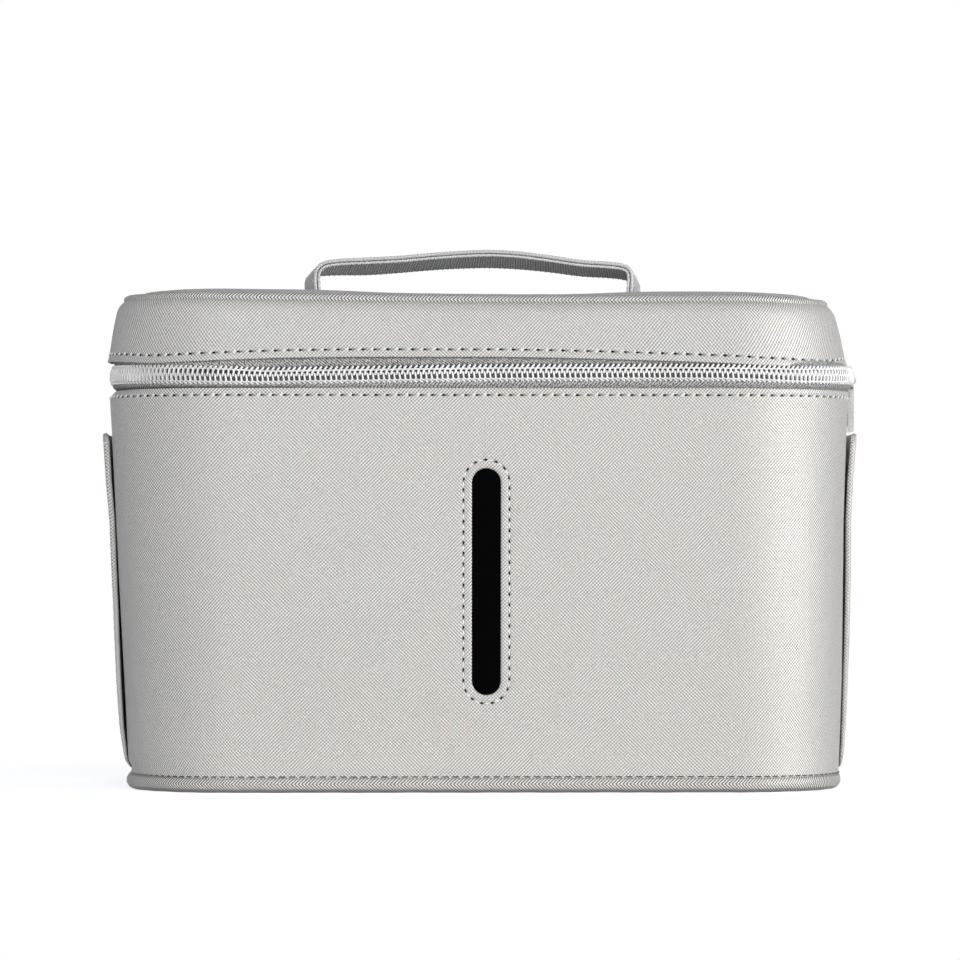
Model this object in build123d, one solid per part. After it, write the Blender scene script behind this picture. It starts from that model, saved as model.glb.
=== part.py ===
from build123d import *
import os
from math import atan, cos, sin

# A zip-round carrying case with a UV lamp module in its lid.
# The base rests on z = 0, the front faces -Y, the hinge is at the rear, +X is the right side.
# Millimetres throughout.

# Outline of the case at the zip
zip_width = 267.0
zip_depth = 177.0
corner_r = 45.0

# Wall layers, outside in
skin_t = 1.0
glue = 0.15
board_t = 3.0
liner_t = 0.5
tape_t = 0.6
hinge_tape_t = 0.8

# Body heights and taper
base_piping_d = 6.4
wall_rise = 136.4
wall_taper = 5.6
base_piping_proud = 0.85
base_skin_t = 0.9
base_board_t = 3.0
seam_gap = 0.1
skin_tuck = 0.2

# Zip
zip_opening = 11.2
coil_h = 2.65
coil_proud = 0.15
coil_gap = 0.3
tape_lap = 4.2
stop_w = 1.8

# Lid band, its shoulder and the curl under the piping
lid_edge_inset = 0.5
band_rise = 14.3
band_taper = 2.9
shoulder_rise = 2.9
shoulder_taper = 1.1
curl_rise = 2.4
curl_taper = 2.1
band_board_t = 2.5
lid_piping_d = 3.1
lid_piping_inset = 9.05
lid_piping_lift = 1.15
top_board_t = 2.5
crown_skin_t = 0.9
# The padded crown: inset from the piping's inner side, and height above the top board
crown_steps = [(0.15, 0.1), (0.15, 1.9), (3.9, 3.9), (11.4, 5.1), (20.4, 5.7), (27.4, 6.0)]

# Front window
window_h = 80.0
window_w = 10.2
window_z = 74.5
lens_fit = 0.15
lens_recess = 0.4
lens_flange = 4.0
lens_flange_t = 1.5
lens_seat_fit = 0.2

# Side pockets
pocket_w = 88.0
pocket_top = 128.0
pocket_foot = 7.2
pocket_t = 1.6
pocket_seam = 3.0
pocket_floor = 8.0
pocket_stand_top = 3.6
pocket_stand_foot = 1.8

# Handle
handle_span = 122.2
handle_width = 26.0
handle_shift = -3.0
handle_top = 196.1
handle_shoulder = 191.2
handle_corner_r = 7.0
strap_t = 2.2
webbing_t = 1.2
handle_slot_fit = 0.3
anchor_len = 16.0
anchor_t = 1.0
rivet_r = 1.6
rivet_head_r = 2.6
rivet_head_t = 0.6
rivet_pitch = 16.0
rivet_fit = 0.1

# Lamp tray and what it carries
tray_side_room = 15.5
controls_room = 7.9
tray_r = 30.0
tray_wall = 2.0
tray_floor = 2.0
tray_flange = 4.0
tray_flange_t = 1.2
tray_boss_r = 4.5
tray_boss_in = 14.0
tray_screw_r = 1.5
tray_screw_head_r = 2.9
tray_screw_head_h = 2.1
tray_screw_fit = 0.2
tray_web = 3.0
screw_tip_gap = 0.2
lining_t = 0.8
lining_fit = 0.3
led_board_side_room = 23.0
led_board_end_room = 20.0
led_board_t = 1.6
led_post_h = 1.4
led_post_r = 3.0
led_post_in_x = 7.0
led_post_in_y = 6.0
led_screw_r = 0.8
led_screw_head_r = 2.0
led_screw_head_h = 1.2
led_columns = 6
led_rows = 4
led_margin_x = 20.0
led_margin_y = 14.0
led_size = 3.5
led_t = 1.25
cup_mouth_r = 6.5
cup_throat_r = 2.9
battery_w = 100.0
battery_d = 56.0
battery_h = 7.4
battery_pad_t = 0.8
battery_pad_margin = 12.0

# Controls at the rear of the lid band
plate_w = 46.0
plate_h = 10.0
plate_t = 0.8
plate_r = 3.0
plate_z = 163.0
neck_w = 40.0
neck_h = 8.6
neck_depth = 2.2
neck_fit = 0.2
button_x = -12.0
light_x = -3.0
socket_x = 8.0
button_r = 3.4
button_fit = 0.2
button_proud = 0.8
button_flange_r = 4.1
button_flange_t = 1.0
button_travel = 0.5
plunger_r = 1.2
plunger_fit = 0.08
switch_size = 6.0
switch_h = 3.5
light_r = 1.2
light_proud = 0.2
socket_w = 8.94
socket_h = 3.26
socket_wall = 0.35
socket_mouth = 0.3
tongue_w = 6.4
tongue_h = 0.7
tongue_recess = 0.8
control_board_w = 40.0
control_board_h = 11.0
control_board_lift = 1.5
control_board_t = 1.6
control_board_depth = 9.0
board_post_x = 18.0
board_post_r = 1.8
board_screw_r = 0.8
ribbon_w = 10.0
ribbon_t = 0.6
ribbon_z = 165.2
notch_margin = 3.0

# Zip sliders and pullers on the right side
slider_len = 11.0
slider_w = 8.8
slider_plate_t = 1.2
slider_gap = 0.3
slider_meet_y = 10.0
slider_spacing = 3.0
bridge_post_t = 1.4
bridge_post_w = 2.4
bridge_inner = 7.0
bridge_r = 0.8
bridge_lift = 2.0
eye_fit = 0.06
eye_wall = 0.8
eye_side_gap = 0.7
puller_t = 1.4
puller_w = 8.0
puller_len = 19.0
puller_neck = 2.4

# Lid magnet in the front wall and its switch in the lid
magnet_r = 4.0
magnet_t = 2.0
magnet_x = 70.0
magnet_drop = 5.0
magnet_fit = 0.15
magnet_seat = 0.4
reed_w = 14.0
reed_d = 4.0
reed_h = 3.0

# Heights worked out from the sizes above
wall_foot = base_piping_d
body_top = wall_foot + wall_rise
zip_mid = body_top + zip_opening / 2
lid_bottom = body_top + zip_opening
shoulder_z = lid_bottom + band_rise
curl_z = shoulder_z + shoulder_rise
band_top = curl_z + curl_rise
shoulder_inset = lid_edge_inset + band_taper
curl_inset = shoulder_inset + shoulder_taper
band_top_inset = curl_inset + curl_taper
lid_piping_r = lid_piping_d / 2
lid_piping_z = band_top + lid_piping_lift
top_board_top = lid_piping_z - lid_piping_r - seam_gap
top_board_bottom = top_board_top - top_board_t
tray_bottom = lid_bottom
tray_floor_top = tray_bottom + tray_floor
led_board_bottom = tray_floor_top + led_post_h
led_board_top = led_board_bottom + led_board_t
tape_bottom = body_top - tape_lap
tape_top = lid_bottom + tape_lap
board_top = tape_bottom - seam_gap
base_piping_r = base_piping_d / 2
base_piping_inset = wall_taper - base_piping_proud + base_piping_r
base_inset = base_piping_inset + base_piping_r + seam_gap
straight_x = zip_width / 2 - corner_r
cut_over = 5.0
control_front = control_board_depth
control_back = control_board_depth + control_board_t
tray_w = zip_width - 2 * tray_side_room
tray_d = zip_depth - 2 * (control_back + controls_room)
tray_boss_x = tray_w / 2 - tray_boss_in
tray_boss_y = tray_d / 2 - tray_boss_in
led_board_w = tray_w - 2 * led_board_side_room
led_board_d = tray_d - 2 * led_board_end_room
led_post_x = led_board_w / 2 - led_post_in_x
led_post_y = led_board_d / 2 - led_post_in_y
led_pitch_x = (led_board_w - 2 * led_margin_x) / (led_columns - 1)
led_pitch_y = (led_board_d - 2 * led_margin_y) / (led_rows - 1)
socket_well = 2.0


def wall_inset(z):
    """Inset of the tapered body wall from the zip outline at height z."""
    return wall_taper * (body_top - z) / wall_rise


def band_inset(z):
    """Inset of the lid band's straight tapered part from the zip outline at height z."""
    return lid_edge_inset + band_taper * (z - lid_bottom) / band_rise


def outline(inset, z):
    """Rounded rectangle of the case at one height, drawn in from the zip outline."""
    width = zip_width - 2 * inset
    depth = zip_depth - 2 * inset
    return Pos(0, 0, z) * RectangleRounded(width, depth, corner_r - inset)


def stack(profile):
    """Solid through outlines given as (inset, height) pairs."""
    return loft([outline(inset, z) for inset, z in profile], ruled=True)


def ring(profile, depth, thickness):
    """Wall that follows a profile, from a depth under it, of one thickness."""
    outer = [(inset + depth, z) for inset, z in profile]
    inner = [(inset + thickness, z) for inset, z in outer]
    return stack(outer) - stack(inner)


def slab(width, depth, radius, bottom, top):
    """Flat plate with rounded corners between two heights."""
    return Pos(0, 0, bottom) * extrude(RectangleRounded(width, depth, radius), top - bottom)


def rod(x, y, radius, bottom, top):
    """Upright cylinder between two heights."""
    return Pos(x, y, (bottom + top) / 2) * Cylinder(radius, top - bottom)


def tube_round(inset, z, radius):
    """Cord of round section along the case's outline."""
    path = outline(inset, z).wire()
    start = Plane(origin=path @ 0, z_dir=path % 0)
    return sweep(start * Circle(radius), path=path)


def prism(sketch, low, high):
    """Sketch in a wall's own plane, carried from one depth to another along its normal."""
    return Pos(0, 0, low) * extrude(sketch, high - low)


def corners(x, y):
    """Four places mirrored about both centre lines."""
    return [(sx * x, sy * y) for sx in (-1, 1) for sy in (-1, 1)]


# Front wall plane at the window: x to the right, y up the wall, z outwards
wall_lean = atan(wall_taper / wall_rise)
window_plane = Plane(
    origin=(0, -(zip_depth / 2 - wall_inset(window_z)), window_z),
    x_dir=(1, 0, 0),
    z_dir=(0, -cos(wall_lean), -sin(wall_lean)),
)

# Rear wall plane of the lid band at the controls: y up the band, z outwards
band_lean = atan(band_taper / band_rise)
control_plane = Plane(
    origin=(0, zip_depth / 2 - band_inset(plate_z), plate_z),
    x_dir=(-1, 0, 0),
    z_dir=(0, cos(band_lean), sin(band_lean)),
)


def window_slot(length, width, low, high):
    """Round-ended slot through the front wall."""
    return window_plane * prism(SlotOverall(length, width, rotation=90), low, high)


def magnet_pocket(radius, extra):
    """Disc let into the front of the stiffener near its top."""
    z = board_top - magnet_drop
    wall_y = -(zip_depth / 2 - wall_inset(z) - skin_t - glue)
    disc = Cylinder(radius, magnet_t + 2 * extra)
    centre_y = wall_y + magnet_t / 2 + magnet_seat
    return Pos(magnet_x, centre_y, z) * Rot(90, 0, 0) * disc


# Body

wall_profile = [(wall_inset(wall_foot - skin_tuck), wall_foot - skin_tuck), (0, body_top)]


def body_skin():
    slot = window_slot(window_h, window_w, -cut_over, cut_over)
    return ring(wall_profile, 0, skin_t) - slot


def body_stiffener():
    foot = wall_foot + seam_gap
    profile = [(wall_inset(foot), foot), (wall_inset(board_top), board_top)]
    wall = ring(profile, skin_t + glue, board_t)
    seat_h = window_h + 2 * lens_flange + 2 * lens_seat_fit
    seat_w = window_w + 2 * lens_flange + 2 * lens_seat_fit
    seat_depth = skin_t + glue + lens_flange_t + lens_seat_fit
    wall -= window_slot(seat_h, seat_w, -seat_depth, cut_over)
    wall -= window_slot(window_h, window_w, -2 * cut_over, cut_over)
    return wall - magnet_pocket(magnet_r + magnet_fit, magnet_fit)


def body_liner():
    floor = base_skin_t + base_board_t + seam_gap
    depth = skin_t + glue + board_t + glue
    hem = skin_t + glue + hinge_tape_t + glue
    hem_top = body_top - seam_gap
    outer = [
        (base_inset + seam_gap, floor),
        (wall_inset(wall_foot) + depth, wall_foot + seam_gap),
        (wall_inset(board_top) + depth, board_top),
        (hem, hem_top),
    ]
    inner = [(inset + liner_t, z) for inset, z in outer]
    inner[0] = (inner[0][0], floor + liner_t)
    tub = stack(outer) - stack(inner)
    return tub - window_slot(window_h, window_w, -3 * cut_over, cut_over)


def base_board():
    return stack([(base_inset, base_skin_t), (base_inset, base_skin_t + base_board_t)])


def base_skin():
    return stack([(base_inset, 0), (base_inset, base_skin_t)])


def base_piping():
    return tube_round(base_piping_inset, base_piping_r, base_piping_r)


def window_lens():
    boss_h = window_h - 2 * lens_fit
    boss_w = window_w - 2 * lens_fit
    shelf = skin_t + glue
    boss = window_slot(boss_h, boss_w, -shelf, -lens_recess)
    flange_h = window_h + 2 * lens_flange
    flange_w = window_w + 2 * lens_flange
    return boss + window_slot(flange_h, flange_w, -shelf - lens_flange_t, -shelf)


def lid_magnet():
    return magnet_pocket(magnet_r, 0)


def side_pocket(side):
    """Open-topped patch pocket sewn along its two edges and its foot; side is -1 or 1."""

    def block(width, foot, top, inner, outer):
        """Tapered block off the side wall between two stand-off distances at foot and top."""
        faces = []
        for z, near, far in ((foot, inner[0], outer[0]), (top, inner[1], outer[1])):
            wall_x = zip_width / 2 - wall_inset(z)
            face = Rectangle(far - near, width)
            faces.append(Pos(side * (wall_x + (near + far) / 2), 0, z) * face)
        return loft(faces, ruled=True)

    stand = (pocket_stand_foot, pocket_stand_top)
    panel = block(pocket_w, pocket_foot, pocket_top, (glue, glue), stand)
    floor = pocket_foot + pocket_floor
    share = pocket_floor / (pocket_top - pocket_foot)
    floor_stand = stand[0] + (stand[1] - stand[0]) * share
    over = pocket_top + cut_over
    over_stand = stand[1] + (stand[1] - stand[0]) * cut_over / (pocket_top - pocket_foot)
    hollow_w = pocket_w - 2 * pocket_seam
    far = (max(floor_stand - pocket_t, glue), over_stand - pocket_t)
    return panel - block(hollow_w, floor, over, (-glue, -glue), far)


# Zip

rear_cut = Pos(0, zip_depth / 2, zip_mid) * Box(2 * straight_x, corner_r, 3 * zip_opening)


def zip_tape_lower():
    profile = [(wall_inset(tape_bottom), tape_bottom), (0, body_top), (0, zip_mid - coil_gap)]
    return ring(profile, skin_t + glue, tape_t) - rear_cut


def zip_tape_upper():
    profile = [
        (0, zip_mid + coil_gap),
        (0, zip_mid + coil_gap / 2 + coil_h),
        (lid_edge_inset, lid_bottom),
        (band_inset(tape_top), tape_top),
    ]
    return ring(profile, skin_t + glue, tape_t) - rear_cut


def coil_row(bottom):
    """One side of the coil zip as a plain rail along the tape's edge."""
    rail = ring([(-coil_proud, bottom), (-coil_proud, bottom + coil_h)], 0, skin_t + coil_proud)
    return rail - rear_cut


def zip_coil_lower():
    return coil_row(zip_mid - coil_gap / 2 - coil_h)


def zip_coil_upper():
    return coil_row(zip_mid + coil_gap / 2)


def zip_end_stops():
    """A crimped stop on each end of the lower coil, at the start of the rear straight."""
    bottom = zip_mid - coil_gap / 2 - coil_h
    y = zip_depth / 2 - (skin_t - coil_proud) / 2
    x = straight_x - seam_gap - stop_w / 2
    block = Box(stop_w, skin_t + coil_proud, coil_h)
    return [Pos(side * x, y, bottom + coil_h / 2) * block for side in (-1, 1)]


def hinge_tape():
    """Flexible strip across the rear that joins the body to the lid."""
    profile = [
        (wall_inset(tape_bottom), tape_bottom),
        (0, body_top),
        (lid_edge_inset, lid_bottom),
        (band_inset(tape_top), tape_top),
    ]
    width = 2 * (straight_x - seam_gap)
    keep = Pos(0, zip_depth / 2, zip_mid) * Box(width, corner_r, 3 * zip_opening)
    return ring(profile, skin_t + glue, hinge_tape_t) & keep


slider_face = zip_width / 2 + coil_proud + slider_gap
bridge_x = slider_face + slider_plate_t + bridge_lift


def zip_slider(y):
    """Slider body: outer plate, lower guide flange and the bridge that holds the puller."""
    plate_x = slider_face + slider_plate_t / 2
    body = Pos(plate_x, y, zip_mid) * Box(slider_plate_t, slider_len, slider_w)
    body = fillet(body.edges().filter_by(Axis.X), slider_w / 4)
    coil_bottom = zip_mid - coil_gap / 2 - coil_h
    guide_in = zip_width / 2 - skin_t - glue + slider_gap
    guide_low = zip_mid - slider_w / 2
    guide_top = coil_bottom - slider_gap
    guide_x = (guide_in + slider_face) / 2
    guide = Box(slider_face - guide_in, slider_len / 2, guide_top - guide_low)
    body += Pos(guide_x, y, (guide_low + guide_top) / 2) * guide
    post_reach = bridge_lift + bridge_r
    post_x = slider_face + slider_plate_t + post_reach / 2
    for end in (-1, 1):
        post_y = y + end * (bridge_inner + bridge_post_t) / 2
        body += Pos(post_x, post_y, zip_mid) * Box(post_reach, bridge_post_t, bridge_post_w)
    bar = Cylinder(bridge_r, bridge_inner + bridge_post_t)
    return body + Pos(bridge_x, y, zip_mid) * Rot(90, 0, 0) * bar


def zip_puller(y):
    """Tab that hangs from the slider's bridge by a rolled eye."""
    eye_r = bridge_r + eye_fit
    eye_len = bridge_inner - 2 * eye_side_gap
    eye = Rot(90, 0, 0) * Cylinder(eye_r + eye_wall, eye_len)
    neck = Pos(0, 0, -puller_neck / 2) * Box(puller_t, eye_len, puller_neck)
    blade_len = puller_len - puller_neck
    blade = Box(puller_t, puller_w, blade_len)
    blade = fillet(blade.edges().filter_by(Axis.X), puller_w / 3)
    tab = eye + neck + Pos(0, 0, -puller_neck - blade_len / 2) * blade
    tab -= Rot(90, 0, 0) * Cylinder(eye_r, eye_len + cut_over)
    return Pos(bridge_x, y, zip_mid) * tab


# Lid shell

band_profile = [
    (lid_edge_inset, lid_bottom),
    (shoulder_inset, shoulder_z),
    (curl_inset, curl_z),
    (band_top_inset, band_top),
]


def neck_opening(fit):
    """Cut for the control plate's neck through the rear of the band."""
    mouth = RectangleRounded(neck_w + 2 * fit, neck_h + 2 * fit, plate_r)
    return control_plane * prism(mouth, -2 * cut_over, cut_over)


def lid_band_skin():
    return ring(band_profile, 0, skin_t) - neck_opening(neck_fit)


def lid_band_board():
    foot = tape_top + seam_gap
    top = top_board_bottom - seam_gap
    slope = shoulder_taper / shoulder_rise
    top_inset = shoulder_inset + slope * (top - shoulder_z)
    profile = [(band_inset(foot), foot), (shoulder_inset, shoulder_z), (top_inset, top)]
    return ring(profile, skin_t + glue, band_board_t) - neck_opening(2 * neck_fit)


def lid_piping():
    return tube_round(lid_piping_inset, lid_piping_z, lid_piping_r)


def crown(drop):
    """Padded crown of the lid top, drawn in and down by one distance."""
    rim = lid_piping_inset + lid_piping_r + drop
    steps = [(rim + inset, top_board_top + rise - drop) for inset, rise in crown_steps]
    return stack(steps)


def handle_x(side):
    return handle_shift + side * handle_span / 2


def handle_cut(bottom, top):
    """The two slots that the handle's legs pass through."""
    thickness = strap_t + seam_gap + webbing_t
    x_size = thickness + 2 * handle_slot_fit
    y_size = handle_width + 2 * handle_slot_fit
    cut = Box(x_size, y_size, top - bottom)
    z = (bottom + top) / 2
    return [Pos(handle_x(side) - side * thickness / 2, 0, z) * cut for side in (-1, 1)]


def lid_top_skin():
    shell = crown(0) - crown(crown_skin_t)
    keep = slab(zip_width, zip_depth, corner_r, top_board_top + seam_gap, handle_top)
    shell = shell & keep
    return shell - handle_cut(top_board_top, handle_top)


def lid_top_foam():
    pad = crown(crown_skin_t + glue)
    keep = slab(zip_width, zip_depth, corner_r, top_board_top, handle_top)
    return (pad & keep) - handle_cut(top_board_top, handle_top)


def rivet_places():
    """Four rivets, two through each turned-in end of the webbing."""
    places = []
    for side in (-1, 1):
        x = handle_x(side) - side * (strap_t + webbing_t + anchor_len / 2)
        places += [(x, -rivet_pitch / 2), (x, rivet_pitch / 2)]
    return places


def lid_top_board():
    inset = band_top_inset + skin_t + neck_fit
    board = stack([(inset, top_board_bottom), (inset, top_board_top)])
    board -= handle_cut(top_board_bottom - cut_over, top_board_top + cut_over)
    tip = top_board_top - screw_tip_gap / 2
    for x, y in corners(tray_boss_x, tray_boss_y):
        board -= rod(x, y, tray_screw_r + seam_gap, top_board_bottom - cut_over, tip)
    for x, y in rivet_places():
        board -= rod(x, y, rivet_r + rivet_fit, top_board_bottom - 1, top_board_top + 1)
    return board


def handle_arch(drop, low):
    """Solid under the handle's curve, drawn in by one distance, down to one height."""
    half = handle_span / 2 - drop
    rise = handle_shoulder - drop
    sides = Polyline((-half, rise), (-half, low), (half, low), (half, rise))
    top = ThreePointArc((half, rise), (0, handle_top - drop), (-half, rise))
    face = make_face(Curve() + sides + top)
    upper = face.vertices().group_by(Axis.Y)[-1]
    face = fillet(upper, handle_corner_r - drop)
    arch = extrude(Plane.XZ * face, handle_width / 2, both=True)
    return Pos(handle_shift, 0, 0) * arch


def handle_strap():
    return handle_arch(0, top_board_bottom) - handle_arch(strap_t, 0)


def handle_webbing():
    drop = strap_t + seam_gap
    foot = top_board_bottom - webbing_t
    band = handle_arch(drop, foot) - handle_arch(drop + webbing_t, 0)
    for side in (-1, 1):
        x = handle_x(side) - side * (drop + webbing_t / 2 + anchor_len / 2)
        lap = Box(anchor_len + webbing_t, handle_width, webbing_t - seam_gap)
        band += Pos(x, 0, foot + (webbing_t - seam_gap) / 2) * lap
    for x, y in rivet_places():
        band -= rod(x, y, rivet_r + rivet_fit, foot - 1, top_board_bottom)
    return band


def handle_anchor_plates():
    """Steel plates that clamp the webbing's ends under the top board."""
    top = top_board_bottom - webbing_t
    plates = []
    for side in (-1, 1):
        x = handle_x(side) - side * (strap_t + webbing_t + anchor_len / 2)
        plate = Pos(x, 0, top - anchor_t / 2) * Box(anchor_len - 2, handle_width - 2, anchor_t)
        for px, py in rivet_places():
            plate -= rod(px, py, rivet_r + rivet_fit, top - 2 * anchor_t, top + 1)
        plates.append(plate)
    return plates


def handle_rivets():
    head_top = top_board_bottom - webbing_t - anchor_t
    rivets = []
    for x, y in rivet_places():
        shank = rod(x, y, rivet_r, head_top, top_board_top)
        rivets.append(shank + rod(x, y, rivet_head_r, head_top - rivet_head_t, head_top))
    return rivets


# Lamp module

def lamp_tray():
    top = top_board_bottom - seam_gap
    tray = slab(tray_w, tray_d, tray_r, tray_bottom, top)
    hollow_w = tray_w - 2 * tray_wall
    hollow_d = tray_d - 2 * tray_wall
    hollow_r = tray_r - tray_wall
    tray -= slab(hollow_w, hollow_d, hollow_r, tray_floor_top, top + cut_over)
    flange_w = tray_w + 2 * tray_flange
    flange_d = tray_d + 2 * tray_flange
    flange_r = tray_r + tray_flange
    tray += slab(flange_w, flange_d, flange_r, tray_bottom, tray_bottom + tray_flange_t)
    for x, y in corners(tray_boss_x, tray_boss_y):
        tray += rod(x, y, tray_boss_r, tray_bottom, top)
        seat_r = tray_screw_head_r + tray_screw_fit
        tray -= rod(x, y, seat_r, tray_bottom - 1, top - tray_web)
        tray -= rod(x, y, tray_screw_r + tray_screw_fit, tray_bottom, top + 1)
    for x, y in corners(led_post_x, led_post_y):
        tray += rod(x, y, led_post_r, tray_bottom, led_board_bottom)
        tray -= rod(x, y, led_screw_r + seam_gap, tray_bottom + tray_floor / 2, led_board_top)
    cup = Cone(cup_mouth_r, cup_throat_r, tray_floor)
    cups = [Pos(x, y, tray_bottom + tray_floor / 2) * cup for x, y in led_places()]
    tray -= cups
    notch_w = ribbon_w + 2 * notch_margin
    notch_low = ribbon_z - notch_margin
    notch = Box(notch_w, 2 * tray_wall, top - notch_low + cut_over)
    return tray - Pos(0, tray_d / 2, notch_low + (top - notch_low + cut_over) / 2) * notch


def tray_screws():
    """Screws that hold the tray up against the lid's top board."""
    web_bottom = top_board_bottom - seam_gap - tray_web
    screws = []
    for x, y in corners(tray_boss_x, tray_boss_y):
        shank = rod(x, y, tray_screw_r, web_bottom, top_board_top - screw_tip_gap)
        head = rod(x, y, tray_screw_head_r, web_bottom - tray_screw_head_h, web_bottom)
        screws.append(shank + head)
    return screws


def led_places():
    xs = [(i - (led_columns - 1) / 2) * led_pitch_x for i in range(led_columns)]
    ys = [(j - (led_rows - 1) / 2) * led_pitch_y for j in range(led_rows)]
    return [(x, y) for x in xs for y in ys]


def led_board():
    board = slab(led_board_w, led_board_d, 3, led_board_bottom, led_board_top)
    for x, y in corners(led_post_x, led_post_y):
        board -= rod(x, y, led_screw_r + seam_gap, led_board_bottom - 1, led_board_top + 1)
    return board


def led_board_screws():
    screws = []
    tip = tray_bottom + tray_floor / 2 + screw_tip_gap
    for x, y in corners(led_post_x, led_post_y):
        shank = rod(x, y, led_screw_r, tip, led_board_top)
        head = rod(x, y, led_screw_head_r, led_board_top, led_board_top + led_screw_head_h)
        screws.append(shank + head)
    return screws


def uv_leds():
    """Lamp chips on the underside of their board, each over a flared cup in the tray."""
    z = led_board_bottom - led_t / 2
    return [Pos(x, y, z) * Box(led_size, led_size, led_t) for x, y in led_places()]


def battery_pad():
    width = battery_w - 2 * battery_pad_margin
    depth = battery_d - 2 * battery_pad_margin
    return slab(width, depth, 2, led_board_top, led_board_top + battery_pad_t)


def battery_pack():
    bottom = led_board_top + battery_pad_t
    pack = slab(battery_w, battery_d, 4, bottom, bottom + battery_h)
    return fillet(pack.edges().group_by(Axis.Z)[-1], 2)


def ribbon_cable():
    """Flat cable from the back of the control board over the tray wall to the LED board."""
    rise = (ribbon_z - plate_z + control_back * sin(band_lean)) / cos(band_lean)
    back_y = control_plane.origin.Y - control_back * cos(band_lean) - rise * sin(band_lean)
    far = back_y - glue
    near = led_board_d / 2 - ribbon_t
    over = Box(ribbon_w, far - near, ribbon_t)
    cable = Pos(0, (near + far) / 2, ribbon_z + ribbon_t / 2) * over
    drop = ribbon_z + ribbon_t - led_board_top - seam_gap
    down = Box(ribbon_w, ribbon_t, drop)
    return cable + Pos(0, near + ribbon_t / 2, ribbon_z + ribbon_t - drop / 2) * down


def lid_lining():
    """Flat lining panel between the lamp tray and the lid band."""
    bottom = tray_bottom + tray_flange_t
    inset = band_inset(bottom + lining_t) + skin_t + glue + hinge_tape_t + glue
    panel = stack([(inset, bottom), (inset, bottom + lining_t)])
    hole_w = tray_w + 2 * lining_fit
    hole_d = tray_d + 2 * lining_fit
    return panel - slab(hole_w, hole_d, tray_r + lining_fit, bottom - 1, bottom + 2)


def reed_switch():
    """Switch that senses the lid magnet, on the lining panel above it."""
    bottom = tray_bottom + tray_flange_t + lining_t
    y = -(zip_depth + tray_d) / 4 - skin_t
    return Pos(magnet_x, y, bottom + reed_h / 2) * Box(reed_w, reed_d, reed_h)


# Controls

def socket_shape(grow):
    return Pos(socket_x, 0) * SlotOverall(socket_w + 2 * grow, socket_h + 2 * grow)


def control_plate():
    plate = prism(RectangleRounded(plate_w, plate_h, plate_r), 0, plate_t)
    plate += prism(RectangleRounded(neck_w, neck_h, plate_r), -neck_depth, 0)
    for side in (-1, 1):
        post = Pos(side * board_post_x, 0) * Circle(board_post_r)
        plate += prism(post, -control_front, -neck_depth)
        pilot = Pos(side * board_post_x, 0) * Circle(board_screw_r + seam_gap)
        plate -= prism(pilot, -control_front - 1, -control_front / 2)
    hole = Pos(button_x, 0) * Circle(button_r + button_fit)
    plate -= prism(hole, -cut_over, cut_over)
    plate -= prism(Pos(light_x, 0) * Circle(light_r + seam_gap), -cut_over, cut_over)
    plate -= prism(socket_shape(seam_gap), -cut_over, cut_over)
    return control_plane * plate


def power_button():
    place = Pos(button_x, 0)
    flange_top = -neck_depth - seam_gap
    cap = prism(place * Circle(button_r), flange_top, plate_t + button_proud)
    cap = fillet(cap.edges().group_by(Axis.Z)[-1], button_proud / 2)
    low = flange_top - button_flange_t
    return control_plane * (cap + prism(place * Circle(button_flange_r), low, flange_top))


def switch_plunger():
    """Stem of the tactile switch, which rides with the button."""
    top = -neck_depth - seam_gap - button_flange_t
    low = switch_hole_floor + button_travel + screw_tip_gap
    return control_plane * prism(Pos(button_x, 0) * Circle(plunger_r), low, top)


switch_hole_floor = -control_board_depth + switch_h / 3


def switch_housing():
    place = Pos(button_x, 0)
    top = -control_front + switch_h
    body = prism(place * Rectangle(switch_size, switch_size), -control_front, top)
    well = prism(place * Circle(plunger_r + plunger_fit), switch_hole_floor, top + 1)
    return control_plane * (body - well)


def status_light():
    place = Pos(light_x, 0)
    return control_plane * prism(place * Circle(light_r), -control_front, plate_t + light_proud)


def charge_socket():
    """Reversible flat charging socket: rounded shell with a central tongue."""
    mouth = plate_t - socket_mouth
    shell = prism(socket_shape(0), -control_front, mouth)
    shell -= prism(socket_shape(-socket_wall), -control_front + socket_well, mouth + 1)
    tongue = Pos(socket_x, 0) * Rectangle(tongue_w, tongue_h)
    return control_plane * (shell + prism(tongue, -control_front + socket_well / 2, mouth - tongue_recess))


def control_board():
    place = Pos(0, control_board_lift) * Rectangle(control_board_w, control_board_h)
    board = prism(place, -control_back, -control_front)
    for side in (-1, 1):
        hole = Pos(side * board_post_x, 0) * Circle(board_screw_r + seam_gap)
        board -= prism(hole, -control_back - 1, -control_front + 1)
    return control_plane * board


def board_screws():
    screws = []
    for side in (-1, 1):
        place = Pos(side * board_post_x, 0)
        shank = prism(place * Circle(board_screw_r), -control_back, -control_front / 2 - 1)
        head_low = -control_back - led_screw_head_h
        head = prism(place * Circle(led_screw_head_r), head_low, -control_back)
        screws.append(control_plane * (shank + head))
    return screws


slider_step = (slider_len + slider_spacing) / 2

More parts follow.
